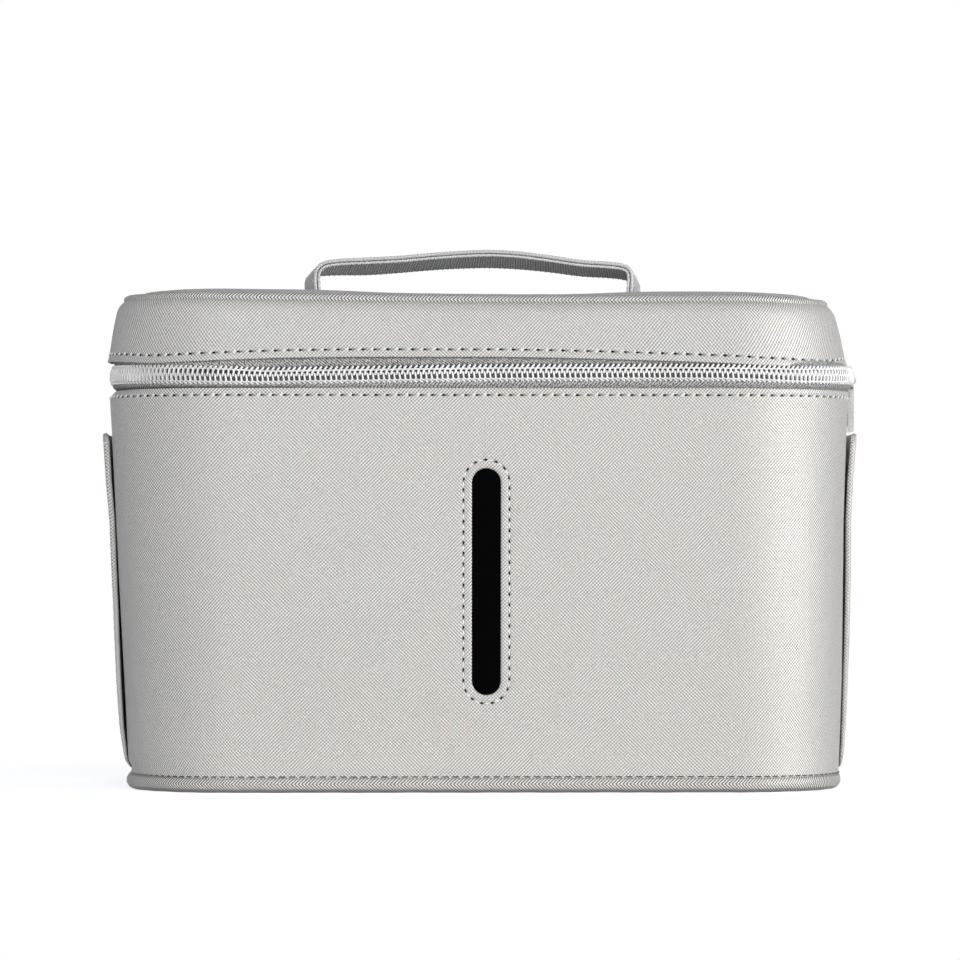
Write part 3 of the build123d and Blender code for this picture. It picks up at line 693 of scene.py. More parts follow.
def tape_finish():
    """Zip tape: a twill of light and dark yarns, with painted shade behind the coil and in the crease
    by the wall's edge.
    """
    finish = Finish("zip_tape_twill", Roughness=0.75)
    u, v, _ = finish.split(finish.uv("weave"))
    tape_side = (v - ZIP_MID).math("SIGN")
    ribs = finish.wave(u + v * tape_side, 1.3) * 0.5 + 0.5
    slanted = {"Vector": finish.stretch(finish.uv("weave"), (1.5, 0.9, 1)), "Angle": 0.6}
    turned = finish.node("ShaderNodeVectorRotate", {"rotation_type": "Z_AXIS"}, slanted)
    yarn = finish.noise(turned, 1.5, 1.0)
    mixed = finish.ramp(ribs * 0.2 + yarn * 0.8, 0.36, 0.64)
    twill = finish.blend(mixed, tone(74, 73, 71), tone(206, 205, 201))
    # Painted shade: dark behind the coil, darkest on the lid's side, and in the crease by the wall's
    # top edge, most on the left.
    coil_shade = 1 - finish.ramp(abs(v - ZIP_MID - 0.25) - yarn * 0.6, COIL_H - 0.8, COIL_H + 0.1)
    shaded = finish.blend(finish.ramp(v - ZIP_MID, -0.2, 0.2), tone(74, 74, 74), DEEP_SHADE)
    x, _, _ = finish.split(finish.object_mm())
    crease_shade = (1 - finish.ramp(v - WALL_TOP, 0.3, 1.7)) * finish.ramp(x, -50.0, -85.0, 0.3, 0.8)
    colour = finish.blend(coil_shade * 0.85, finish.blend(crease_shade, twill, DEEP_SHADE), shaded)
    return finish.to(Base_Color=colour, Normal=finish.bump(mixed, 0.12))


def grosgrain_finish():
    """Ribbed ribbon: ribs run across the strap, and single filaments catch the light."""
    finish = Finish("grosgrain_ribbon", Roughness=0.6)
    u, v, _ = finish.split(finish.uv("weave"))
    ribs = finish.wave(u, 0.95) * 0.5 + 0.5
    streak = finish.noise(finish.stretch(finish.uv("weave"), (1.4, 0.12, 1.0)), 0.8, 3.0)
    mixed = finish.ramp(ribs * 0.5 + streak * 0.5, 0.3, 0.75)
    edge = finish.ramp(abs(v), 11.4, 12.6)
    ribbed = finish.blend(mixed, tone(166, 166, 168), tone(226, 226, 227))
    colour = finish.blend(edge, ribbed, tone(214, 214, 212))
    return finish.to(Base_Color=colour, Normal=finish.bump(ribs, 0.1))


def lining_finish():
    """Silvered film on a thin wadding: soft crinkles and fine dimples."""
    finish = Finish("silvered_lining", Metallic=0.85, Roughness=0.33)
    place = finish.object_mm()
    crinkle = finish.noise(place, 0.06, 5.0)
    dimple = finish.node("ShaderNodeTexVoronoi", inputs={"Vector": place, "Scale": 0.45})
    height = crinkle * 0.8 + dimple * 0.2
    colour = finish.blend(finish.ramp(height, 0.3, 0.7), tone(176, 179, 184), tone(214, 216, 220))
    roughness = finish.ramp(crinkle, 0.3, 0.7, 0.25, 0.42)
    return finish.to(Base_Color=colour, Roughness=roughness, Normal=finish.bump(height, 0.5, 0.6))


THREAD = thread_finish()
TAPE = tape_finish()
GROSGRAIN = grosgrain_finish()
LINING = lining_finish()


# %% Hard finishes
def grained(name, first, second, scale, roughness, metallic=0.0, depth=0.02,
            stretch=(1, 1, 1), **more):
    """Two close tones mixed by noise, with the same noise as fine relief and as uneven gloss."""
    finish = Finish(name, Metallic=metallic, **more)
    place = finish.stretch(finish.object_mm(), stretch)
    fine = finish.noise(place, scale, 3.0)
    broad = finish.noise(place, scale / 14, 2.0)
    share = finish.ramp(fine * 0.6 + broad * 0.4, 0.35, 0.65)
    gloss = finish.ramp(broad, 0.3, 0.7, roughness * 0.85, roughness * 1.15)
    return finish.to(Base_Color=finish.blend(share, first, second), Roughness=gloss,
                     Normal=finish.bump(fine, depth))


def board_finish():
    """White solder mask over copper tracks that run along and across."""
    finish = Finish("circuit_board_mask", Roughness=0.35)
    place = finish.object_mm()
    x, y, _ = finish.split(place)
    cell = finish.noise(place, 0.11, 1.0)
    track = finish.wave(x + cell * 9, 2.6).math("MAXIMUM", finish.wave(y - cell * 7, 3.4))
    raised = finish.ramp(track, 0.72, 0.84)
    colour = finish.blend(raised, tone(226, 229, 226), tone(206, 214, 206))
    return finish.to(Base_Color=colour, Normal=finish.bump(raised, 0.06))


def acrylic_finish():
    """Glossy smoked acrylic: nearly black, with a few specks of dust and faint rubbing marks."""
    finish = Finish("smoked_acrylic", Specular_IOR_Level=0.02)
    place = finish.object_mm()
    dust = finish.ramp(finish.noise(place, 1.6, 4.0), 0.72, 0.8)
    rub = finish.noise(place, 0.12, 3.0)
    colour = finish.blend(dust, tone(2, 2, 3), tone(56, 58, 60))
    return finish.to(Base_Color=colour, Roughness=finish.ramp(rub, 0.3, 0.7, 0.06, 0.16))


COIL = grained("coil_filament", tone(226, 225, 222), tone(250, 249, 246), 0.9, 0.34, metallic=0.2,
               depth=0.03)
NICKEL = grained("polished_nickel", tone(198, 197, 192), tone(216, 215, 211), 1.6, 0.2,
                 metallic=1.0, depth=0.005)
FOAM = grained("closed_cell_foam", tone(222, 222, 220), tone(238, 238, 236), 1.2, 0.8, depth=0.15)
BOARD = grained("pressed_grey_board", tone(120, 119, 116), tone(146, 144, 140), 0.8, 0.85,
                depth=0.1)
FOAM_BOARD = grained("dark_foam_board", tone(88, 88, 92), tone(104, 104, 108), 1.4, 0.8, depth=0.08)
MAGNET = grained("plated_magnet", tone(190, 190, 192), tone(208, 208, 210), 1.1, 0.25, metallic=1.0)
ZINC = grained("zinc_plate", tone(172, 175, 180), tone(196, 198, 201), 0.9, 0.35, metallic=1.0,
               depth=0.01)
WHITE = grained("satin_white_moulding", tone(228, 229, 230), tone(236, 237, 237), 2.2, 0.42,
                depth=0.012)
BLACK = grained("black_moulding", tone(22, 22, 24), tone(34, 34, 36), 2.2, 0.45, depth=0.015)
GREY = grained("satin_grey_moulding", tone(150, 150, 150), tone(164, 164, 163), 2.4, 0.4,
               depth=0.012)
WRAP = grained("battery_shrink_wrap", tone(38, 66, 104), tone(48, 78, 120), 0.5, 0.3, depth=0.05)
RIBBON = grained("ribbon_cable", tone(150, 152, 156), tone(214, 216, 218), 1.0, 0.4,
                 stretch=(6, 0.02, 0.02))
LIGHT_PIPE = grained("frosted_light_pipe", tone(214, 222, 226), tone(232, 238, 240), 1.8, 0.5)
MASK = board_finish()
ACRYLIC = acrylic_finish()
print("finishes:", len(bpy.data.materials))

# %% [markdown]
# ## Stitches
# A lockstitch shows on the face as a short thread that rises out of one needle hole and dives into
# the next. `thread_row` lays one small closed tube for each stitch. It asks a place function for
# points at an arc length and a height above the leatherette, so the same code sews round the case,
# round the window and along the pockets.

# %% Sewing
THREAD_R = 0.24
THREAD_STEPS = 7
BEAD = {"reach": (0.68, 1.02), "radius": 0.36, "slant": 1.2}


def thread_row(name, length, pitch, place, body, reach=(0.26, 0.86), radius=THREAD_R,
               finish=THREAD, slot=None, slant=0.0):
    """Stitches along a seam: height = lift - sink * (1 - sin(pi t^1.6)^0.5) over each stitch.

    reach is the share of the pitch that shows, and slant is how far a stitch climbs across the
    seam. BEAD holds the short, tight stitches of the two long seams.
    """
    count = stitch_count(length, pitch)
    t = np.linspace(0, 1, THREAD_STEPS)
    share = reach[0] + (reach[1] - reach[0]) * t
    along = (np.arange(count)[:, None] + share) * length / count
    height = 0.16 - 0.75 * (1 - np.sqrt(np.sin(np.pi * t ** 1.6)))
    across = slant * (t - 0.5) + 0 * along
    centre = place(along, across, height + 0 * along)
    up = place(along, across, height + 1 + 0 * along) - centre
    swell = radius * np.minimum(1, 2.2 * np.sqrt(np.sin(np.pi * t))) * (0.75 + 0.35 * t)
    points = tubes(centre, up, np.broadcast_to(swell, along.shape))
    f = np.linspace(0, 1, points.shape[-2])
    weave = np.stack(np.broadcast_arrays(along[..., None], f), -1)
    return build(name, [grid(points, weave)], finish, body, sharp=80)


print("stitches ready")

# %% [markdown]
# ## The body's wall
# The wall is one strip of leatherette wrapped round a stiff board, tapered towards the foot, with
# its top edge folded over. It could be a box with a bevel, but the fold, the pressed stitch line
# and the window's turned-in edge are what the eye looks for. So the wall is a closed profile of
# outer face, folded edge and inner face, carried round the outline. Where the window sits, a
# rectangle of quads stays open on both faces, and a second grid runs from that rectangle to the
# slot, over its rounded rim and back on the inside.

# %% Wall profile
WALL_TAPER = 5.6
SKIN_T = 1.0
WALL_FOOT = skin_low[2] - 1.0
WALL_RISE = WALL_TOP - node_box("base_piping")[1][2]
WALL_STITCH_DROP = 2.5
WALL_PITCH = 3.93
WINDOW_Z = sum(b[2] for b in node_box("window_lens")) / 2
SLOT_R, SLOT_HALF = 5.1, 40.0
PATCH_HALF_W, PATCH_HALF_H = 14.0, 50.0
PATCH_ROWS, PATCH_COLUMNS = 41, 29
FLATTENED = 88.0
SEAM_ROWS = np.array([-1.6, -0.9, -0.5, -0.2, 0, 0.2, 0.5, 0.9, 1.4])
WINDOW_SEAM = 3.0
WINDOW_PITCH = 3.7


def wall_inset(z):
    """Inset of the tapered wall at a height."""
    return WALL_TAPER * (WALL_TOP - z) / WALL_RISE


def groove(distance, depth, width):
    """Pressed line: -depth * exp(-(distance / width)^2)."""
    return -depth * np.exp(-(distance / width) ** 2)


def clear_of_rear(s):
    """1 round the case, 0 at the middle of the rear, where the ring of stations begins and ends."""
    x, y = case.at(s)
    return 1 - np.exp(-(x / 34) ** 4) * (y > 0)


def wall_relief(s, z):
    """Height of the wall's face over its flat cone: unevenness, the stitch line and the hem."""
    stitch_z = WALL_TOP - WALL_STITCH_DROP
    hem = 0.10 * np.exp(-((z - stitch_z - 1.3) / 0.8) ** 2)
    settled = 1 / (1 + np.exp((z - stitch_z + 4) / 1.2)) / (1 + np.exp((12 - z) / 2))
    return groove(z - stitch_z, 0.2, 0.5) + hem + waves(s, z, 0.16) * settled * clear_of_rear(s)


def window_relief(d):
    """Height of the border round the slot, by the distance from its edge: groove + lip + rim."""
    lip = 0.16 * np.exp(-((d - 1.4) / 0.9) ** 2)
    rim = -0.45 * np.clip(1 - d / 0.45, 0, 1) ** 2
    return groove(d - WINDOW_SEAM, 0.24, 0.45) + lip + rim


front_marks = FRONT_S + np.linspace(-PATCH_HALF_W, PATCH_HALF_W, PATCH_COLUMNS)
wall_s = case.stations(3.0, np.append(front_marks, FRONT_S + np.array([-FLATTENED, FLATTENED])))
window_rows = WINDOW_Z + np.linspace(-PATCH_HALF_H, PATCH_HALF_H, PATCH_ROWS)
stitch_rows = WALL_TOP - WALL_STITCH_DROP + SEAM_ROWS
wall_rows = np.concatenate([np.linspace(WALL_FOOT, window_rows[0], 8)[:-1], window_rows,
                            np.linspace(window_rows[-1], stitch_rows[0], 6)[1:-1], stitch_rows])
print("wall rows", len(wall_rows), "columns", len(wall_s))

# %% [markdown]
# The window's patch pairs each point of the open rectangle with a point of a round-ended slot: the
# rectangle's upright sides go to the slot's straight sides and its short sides to the half circles.

# %% Walls with a window
def slot_loop(r):
    """Round-ended slot of radius r, walked like the open rectangle: x and height off its middle."""
    a = np.radians(np.linspace(0, 180, PATCH_COLUMNS))
    half = SLOT_HALF - SLOT_R
    side = np.linspace(-half, half, PATCH_ROWS)
    x = np.concatenate([0 * side + r, (r * np.cos(a))[1:], 0 * side[1:] - r, (-r * np.cos(a))[1:]])
    h = np.concatenate([side, (half + r * np.sin(a))[1:], -side[1:], (-half - r * np.sin(a))[1:]])
    return x, h


def rectangle_loop():
    """The open rectangle's edge, counter-clockwise from its lower right corner."""
    side = np.linspace(-PATCH_HALF_H, PATCH_HALF_H, PATCH_ROWS)
    top = np.linspace(PATCH_HALF_W, -PATCH_HALF_W, PATCH_COLUMNS)[1:]
    x = np.concatenate([0 * side + PATCH_HALF_W, top, 0 * side[1:] - PATCH_HALF_W, -top])
    h = np.concatenate([side, 0 * top + PATCH_HALF_H, -side[1:], 0 * top - PATCH_HALF_H])
    return x, h


WINDOW_X, WINDOW_H = slot_loop(SLOT_R + WINDOW_SEAM)
WINDOW_ARC = np.append(0, np.cumsum(np.hypot(np.diff(WINDOW_X), np.diff(WINDOW_H))))


def open_cells(middle_z, middle_s):
    """Cells that lie in the rectangle of the window's patch."""
    tall = np.abs(middle_z - WINDOW_Z) < PATCH_HALF_H
    return tall[:, None] & (np.abs(middle_s - FRONT_S) < PATCH_HALF_W)


def window_patch(outer_depth, inner_depth, distances, heights, relief):
    """Grid from the outer rectangle over the rim to the inner one; depth is added to the inset."""
    rect = rectangle_loop()
    loops = [rect] + [slot_loop(SLOT_R + d) for d in distances] + [rect]
    x, h = (np.stack(values) for values in zip(*loops))
    z = WINDOW_Z + h
    s = FRONT_S + x
    depth = column([outer_depth] + [outer_depth - v for v in heights] + [inner_depth])
    wavy = np.where(depth - outer_depth < 0.35, relief(s, z), 0.0)
    points = lean_body(ring(s, wall_inset(z) + depth - wavy, z))
    off = column([FAR] + [d - WINDOW_SEAM for d in distances] + [FAR])
    off = np.where(depth - outer_depth < 0.5, off, FAR)
    seam = seam_uv(WINDOW_ARC, WINDOW_ARC[-1], WINDOW_PITCH, off, points)
    return grid(points, np.stack([s, z], -1), seam)


def wall_shell():
    """Closed shell of outer face, folded top and inner face round the case, open at the window."""
    rows, fold_r = wall_rows, SKIN_T / 2
    bend = np.radians(np.linspace(0, 180, 7))
    fold_depth = fold_r * (1 - np.cos(bend))
    fold_z = WALL_TOP - fold_r + fold_r * np.sin(bend)
    z = np.concatenate([rows, fold_z, rows[::-1], rows[:1]])
    depth = np.concatenate([0 * rows, fold_depth, 0 * rows + SKIN_T, [0]])
    outer = np.concatenate([np.ones(len(rows)), np.zeros(len(z) - len(rows) - 1), [1]])
    lift = column(outer) * wall_relief(wall_s, column(z))
    points = lean_body(ring(wall_s, column(wall_inset(z) + depth) - lift, column(z)))
    weave = surface_uv(wall_s, column(z), points)
    off = np.where(column(outer) > 0, column(z - WALL_TOP + WALL_STITCH_DROP), FAR)
    seam = seam_uv(wall_s, case.length, WALL_PITCH, off, points)
    on_face = np.abs(np.diff(depth)) < 0.01
    skip = open_cells(between(z), between(wall_s)) & on_face[:, None]
    return grid(points, weave, seam, skip)


RIM = np.array([7.5, 5.5, 4.2, 3.6, 3.3, 3.0, 2.7, 2.4, 1.9, 1.3, 0.8, 0.45, 0.2, 0, 0, 2.0, 7.5])
rim_heights = window_relief(RIM)
rim_heights[-4:] = [-0.45, -SKIN_T, -SKIN_T, -SKIN_T]
window_rim = window_patch(0.0, SKIN_T, RIM, rim_heights, wall_relief)
build("case_wall", [wall_shell(), window_rim], LEATHER, "case_body", ["body_skin"])

# %% Stitches of the wall and the window
def wall_place(along, across, height):
    """Point of the wall's seam: inset = wall + 0.2 mm of groove - height."""
    z = WALL_TOP - WALL_STITCH_DROP + across
    return lean_body(ring(along, wall_inset(z) + 0.2 - height, z))


def window_place(along, across, height):
    """Arc length round the window's seam to a point on the front wall."""
    z = WINDOW_Z + np.interp(along, WINDOW_ARC, WINDOW_H)
    s = FRONT_S + np.interp(along, WINDOW_ARC, WINDOW_X)
    return ring(s, wall_inset(z) + 0.24 - height, z)


thread_row("wall_stitches", case.length, WALL_PITCH, wall_place, "case_body", **BEAD)
thread_row("window_stitches", WINDOW_ARC[-1], WINDOW_PITCH, window_place, "case_body")
moved_copy("wall_stiffener", "body_stiffener", lean_body, FOAM_BOARD, "case_body")

# %% [markdown]
# ## Corded piping
# A strip of leatherette is wrapped round a cord and sewn into each seam. A ring of round section is
# enough for its shape: inset = centre - r cos f, height = centre + r sin f. Its grain is mirrored
# about the cord's middle, which gives the small chevrons of the real piping, and a slight wander of
# the radius keeps it from looking turned on a lathe.

# %% Piping
def at_ends(s):
    """0 along the middle of the front and rear, 1 at the case's left and right ends."""
    return rise(np.abs(case.at(s)[0]), 95, 126)


def cord_ring(name, node, body, lift, wander, mover, grow=1.0, spread=0.0):
    """Piping ring with its node's size and place; spread pushes its left and right ends out."""
    low, high = node_box(node)
    r = (high[2] - low[2]) / 2
    centre_z = (high[2] + low[2]) / 2
    centre_inset = skin_high[0] - high[0] + r
    s = case.stations(2.0)
    f = np.radians(np.linspace(-180, 180, 25))
    uneven = np.sin(s / 7.3) * np.cos(s / 3.1) * clear_of_rear(s)
    radius = (r - wander + wander * uneven) * grow
    inset = centre_inset - spread * at_ends(s) - radius * column(np.cos(f))
    z = centre_z + radius * column(np.sin(f)) + lift(s)
    points = mover(ring(s, inset, z))
    weave = surface_uv(s, column(f) * r, points)
    build(name, [grid(points, weave)], PIPING_LEATHER, body, [node])


def edge_rise(x):
    """How far the lid's top edge rises at the left and hangs right of the middle."""
    left = 1.5 / (1 + np.exp((x + 104) / 9)) + 0.45 * np.exp(-((x + 85) / 40) ** 2)
    return left - 0.45 * np.exp(-((x - 25) / 45) ** 2)


def lid_rise(s):
    """The same round the edge."""
    return edge_rise(case.at(s)[0])


def lid_cord_lift(s):
    """The cord follows the edge and is drawn a little lower, most at its left and right ends."""
    return lid_rise(s) - 0.2 - 0.7 * at_ends(s)


cord_ring("base_cord", "base_piping", "case_body", lambda s: 0 * s, 0.06, np.copy)
cord_ring("lid_cord", "lid_piping", "lid", lid_cord_lift, 0.05, shift_lid, grow=1.1, spread=1.1)

# %% [markdown]
# Between the wall and the base cord the needle pulls the thread tight into the crease, where it lies
# in shadow. Its colour is painted dark as that shade, so it shows as long dark dashes.

# %% Base seam
BASE_PITCH = 3.6
# Painted shade: the thread in the crease is coloured dark for the shadow it lies in.
SHADED_SEAM_THREAD = grained("seam_thread_painted_shade", tone(52, 51, 50), tone(84, 83, 81), 2.5, 0.7, depth=0.05)


def crease_place(along, across, height):
    """Point in the crease over the base cord: inset = wall - 0.12 mm - height."""
    z = WALL_FOOT + 0.55 + across
    return lean_body(ring(along, wall_inset(z) - 0.12 - height, z))


thread_row("base_seam_stitches", case.length, BASE_PITCH, crease_place, "case_body",
           reach=(0.06, 0.92), radius=0.26, finish=SHADED_SEAM_THREAD)

# %% [markdown]
# ## The underside
# The case stands on a flat leatherette panel sewn in by the base cord. Rows that shrink towards the
# centre close it without a seam.

# %% Base panel
def base_panel():
    """Flat closed plate: underside, edge and top, each face drawn in to its centre."""
    low, high = node_box("base_skin")
    inset = skin_high[0] - high[0]
    s = case.stations(4.0)
    shrink = np.linspace(1, 0, 14)
    share = np.concatenate([shrink[::-1], shrink])
    z = np.concatenate([0 * shrink + low[2], 0 * shrink + high[2]])
    points = ring(s, inset, column(z), column(share))
    build("base_panel", [grid(points)], LEATHER, "case_body", ["base_skin"])


base_panel()

# %% [markdown]
# ## The zip
# Two woven tapes come out from under the folded edges, and a coil is sewn along each. A coil zip is
# one nylon filament wound into a flattened spiral, so that is how it is made here: height and depth
# follow a cosine and a sine while the filament moves on by one pitch a turn. The two spirals are
# half a pitch apart and reach a little past each other in the middle. Across the front the upper
# row leans back under the lid and shows foreshortened. At the corners it stands up. The lid's edge
# sags between its corners, so hand-read tables of x and drop say how far edge and zip hang down.

# %% Zip tapes
TAPE_LOW, TAPE_HIGH = node_box("zip_tape_lower")[0][2], node_box("zip_tape_upper")[1][2]
TAPE_DEPTH = skin_high[0] - node_box("zip_tape_lower")[1][0]
TAPE_T = 0.6
COIL_PITCH = 1.85
FILAMENT_R = 0.32
CORNER_SAG = 0.8
LEAN_BACK = 1.1
EDGE_INSET = 0.5
ZIP_SHIFT = 1.1
EDGE_X = [-133, -117, -110, -99, -85, -67, -45, 5, 20, 41, 59, 77, 88, 99, 110, 122, 128, 133]
EDGE_DROP = [0.9, 2.25, 2.15, 1.75, 1.2, 0.65, 0.35, 0.3, 0.5, 0.95, 1.5, 2.1, 2.5, 3.1, 3.45,
             3.9, 3.3, 2.1]
ZIP_X = [-133, -123, -112, -102, -89, -75, -61, -43, -21, 0, 21, 43, 64, 82, 96, 110, 120, 133]
ZIP_DROP = [0.2, 0.45, 0.65, 0.9, 1.15, 1.15, 0.85, 0.65, 0.3, 0, -0.1, -0.15, -0.2, -0.15, 0.15,
            0.6, 0.5, 0.2]
tape_s = case.stations(2.5, [HINGE_HALF, case.length - HINGE_HALF])
tape_s = tape_s[(tape_s >= HINGE_HALF - 1e-6) & (tape_s <= case.length - HINGE_HALF + 1e-6)]


def lean(s, z):
    """How far the zip leans back at a height: nothing below its middle, most under the lid."""
    return LEAN_BACK * (1 - case.corner(s)) * np.clip((z - ZIP_MID) / (LID_BOTTOM - ZIP_MID), 0, 1)


def sag(s):
    """The lid's edge hangs lower round the corners, most at the front's right."""
    x, y = case.at(s)
    front = rise(y, 0, -40)
    return -np.interp(x, EDGE_X, EDGE_DROP) * front - CORNER_SAG * case.corner(s) * (1 - front)


def front_share(s):
    """1 along the middle of the front, where the zip's upper row leans back, and 0 elsewhere."""
    x, y = case.at(s)
    return rise(x, -100, -70) * (1 - 0.5 * rise(x, 85, 118)) * rise(y, -60, -86)


def lean_zip(points):
    """The zip leans with the body below, with the lid above; its right row stays by the sliders.

    Between them the coils move by their own shift, and across the front they hang by ZIP_DROP.
    """
    x, y, z = points[..., 0], points[..., 1], points[..., 2]
    free = rise(z, WALL_TOP + 0.2, ZIP_MID - COIL_H) * rise(z, LID_BOTTOM + 2, ZIP_MID + COIL_H)
    drop = np.interp(x, ZIP_X, ZIP_DROP) * rise(y, -45, -75) * free
    coil_place = points.copy()
    coil_place[..., 0] -= ZIP_SHIFT * rise(x, 60, -60) * off_rear(y)
    low = rise(z, WALL_TOP + 1.5, WALL_TOP)[..., None]
    high = rise(z, ZIP_MID + COIL_H, LID_BOTTOM)[..., None]
    moved = lean_body(points) * low + shift_lid(points) * high + coil_place * (1 - low - high)
    moved[..., 2] -= drop
    return moved


def tape(name, node, profile, body):
    """Woven strip: closed profile of outer and inner face, with both cut ends capped."""
    inset, z = (np.array(v, float) for v in zip(*profile))
    z_all = np.concatenate([z, z[::-1], z[:1]])
    inset_all = np.concatenate([inset, inset[::-1] + TAPE_T, inset[:1]])
    ripple = 0.25 * np.sin(tape_s / 9.0) * np.sin(tape_s / 4.1)
    relief = ripple * np.exp(-((column(z_all) - ZIP_MID) / 3) ** 2)
    depth = column(inset_all) + lean(tape_s, column(z_all)) + relief
    points = lean_zip(ring(tape_s, depth, column(z_all)))
    faces = [grid(points, surface_uv(tape_s, column(z_all), points))]
    build(name, faces + end_caps(points, len(z)), TAPE, body, [node], sharp=60)


tape("lower_zip_tape", "zip_tape_lower",
     [(wall_inset(TAPE_LOW) + TAPE_DEPTH, TAPE_LOW), (TAPE_DEPTH, WALL_TOP - 0.3),
      (TAPE_DEPTH - 0.35, WALL_TOP + 1.2), (TAPE_DEPTH - 0.15, ZIP_MID - 2.4),
      (TAPE_DEPTH, ZIP_MID - 0.3)], "case_body")
tape("upper_zip_tape", "zip_tape_upper",
     [(TAPE_DEPTH, ZIP_MID + 0.3), (TAPE_DEPTH - 0.1, ZIP_MID + 2.4), (TAPE_DEPTH, ZIP_MID + 3.6),
      (TAPE_DEPTH + EDGE_INSET, LID_BOTTOM), (TAPE_DEPTH + 1.4, TAPE_HIGH)], "lid")

# %% Zip coils
TURN_STEPS = 18
LEG_SLANT, HEAD_OVERLAP = 0.42, 0.30


def leaned_over(s, side):
    """How far a row leans back: the upper row across the front, the lower one nowhere."""
    return front_share(s) if side > 0 else 0 * s


def coil(name, node, side, body):
    """Flattened spiral: height = middle + h/2 cos f, depth = d/2 (1 - sin f), one pitch a turn.

    The whole pitch is walked in the outer bend, so a turn's front leg hides its back leg and the
    dark tape shows between the legs. The loop's head at the zip's middle is thicker, as the real
    one is where it is pinched flat, and so is the filament where the upper row leans back.
    """
    s0, s1 = tape_s[0] + 0.6, tape_s[-1] - 0.6
    turns = int((s1 - s0) / COIL_PITCH)
    t = np.linspace(0, turns, turns * TURN_STEPS + 1)
    f = 2 * np.pi * t
    head = 0.5 - 0.5 * np.cos(f)
    walked_turns = np.round(t) - 0.5 + rise(t - np.round(t), -0.19, 0.19)
    s = s0 + (walked_turns + (1.0 if side > 0 else 0.5)) * COIL_PITCH + LEG_SLANT * (0.5 - head)
    over = leaned_over(s, side)
    reach_out = COIL_H - FILAMENT_R - over
    z = ZIP_MID + side * (reach_out - (reach_out + HEAD_OVERLAP) * head)
    depth = 0.45 - 0.36 * np.sin(f) - 0.06 * head
    points = lean_zip(ring(s, depth + lean(s, z), z))
    out = lean_zip(ring(s, depth + lean(s, z) - 1, z)) - points
    radius = FILAMENT_R * (1 + 0.12 * head + 0.25 * over)
    radius[[0, -1]] = 0.0
    points = tubes(points, out, radius)
    weave = surface_uv(column(s), np.linspace(0, 2, points.shape[1]), points)
    build(name, [grid(points, weave)], COIL, body, [node], sharp=70)


coil("lower_zip_coil", "zip_coil_lower", -1, "case_body")
coil("upper_zip_coil", "zip_coil_upper", 1, "lid")


def coil_cord(name, side, radius, body):
    """Sewing that ties the coil to its tape, with a slanted thread over every outer bend."""
    length = tape_s[-1] - tape_s[0] - 2.4

    def place(along, across, height):
        s = tape_s[0] + 1.2 + along
        over = leaned_over(s, side)
        z = ZIP_MID + side * (COIL_H - 0.05) + across * (1 + 0.6 * over) - 0.8 * over
        return lean_zip(ring(s, 0.5 - 0.5 * over + lean(s, z) - height * 0.7, z))

    thread_row(name, length, COIL_PITCH, place, body, reach=(-0.06, 0.86), radius=radius,
               finish=COIL, slot="zip_coil", slant=side * 1.25)


coil_cord("lower_coil_sewing", -1, 0.34, "case_body")
coil_cord("upper_coil_sewing", 1, 0.42, "lid")

# %% [markdown]
# ## The lid's band
# The band is the same leatherette folded over a thinner board. It rises with a slight inward lean,
# turns over a soft shoulder and curls in under the lid's cord. At the rear an opening takes the
# neck of the control plate, and a few quads close the opening's edge between the two faces.

# %% Lid band
SHOULDER_RISE, BAND_TAPER = 14.3, 2.9
SHOULDER_Z = LID_BOTTOM + SHOULDER_RISE
LID_STITCH_Z = LID_BOTTOM + 2.75
LID_PITCH = 4.38
BAND_TOP = node_box("lid_band_skin")[1][2]
OPENING_Z = sum(b[2] for b in node_box("control_plate")) / 2
OPENING_HALF_W, OPENING_HALF_H = 20.2, 4.4


def band_inset(z):
    """Inset of the band at a height: edge + taper * (z - hem) / shoulder height."""
    return EDGE_INSET + BAND_TAPER * (z - LID_BOTTOM) / SHOULDER_RISE


def smooth_path(points, count):
    """Catmull-Rom curve through given points, at even steps of its parameter."""
    p = np.array(points, float)
    p = np.concatenate([[2 * p[0] - p[1]], p, [2 * p[-1] - p[-2]]])
    t = np.linspace(0, len(points) - 1, count)
    i = np.minimum(t.astype(int), len(points) - 2)
    f = column(t - i)
    a, b, c, d = p[i], p[i + 1], p[i + 2], p[i + 3]
    return b + 0.5 * f * (c - a + f * (2 * a - 5 * b + 4 * c - d + f * (3 * (b - c) + d - a)))


def hang(z):
    """Share of the edge's sag at a height: all of it along the hem, none at the shoulder."""
    return rise(z, SHOULDER_Z, LID_STITCH_Z - 1)


def band_profile():
    """Inset and height of the band's outer face: hem, straight band, shoulder and curl."""
    hem_z = LID_STITCH_Z + np.append(-1.3, SEAM_ROWS[1:])
    band_z = np.concatenate([[OPENING_Z - OPENING_HALF_H], OPENING_Z + np.linspace(-2.9, 2.9, 5),
                             [OPENING_Z + OPENING_HALF_H]])
    straight = np.concatenate([hem_z, band_z])
    low = SHOULDER_Z - 0.5
    bend = smooth_path([(band_inset(low), low), (3.95, SHOULDER_Z + 1.9), (4.9, BAND_TOP - 1.7),
                        (5.9, BAND_TOP - 0.6), (6.9, BAND_TOP)], 13)
    inset = np.concatenate([band_inset(straight), bend[:, 0]])
    return inset, np.concatenate([straight, bend[:, 1]])


def opening_loop(points, high, low, columns):
    """Edge of the opening in one face: along its top, down, back along its foot and up again."""
    down = np.arange(high, low, 1 if low > high else -1)
    rows = np.concatenate([0 * columns + high, np.append(down[1:], low),
                           0 * columns[1:] + low, down[::-1]])
    places = np.concatenate([columns, 0 * down + columns[-1],
                             columns[-2::-1], 0 * down + columns[0]])
    return points[rows, places]


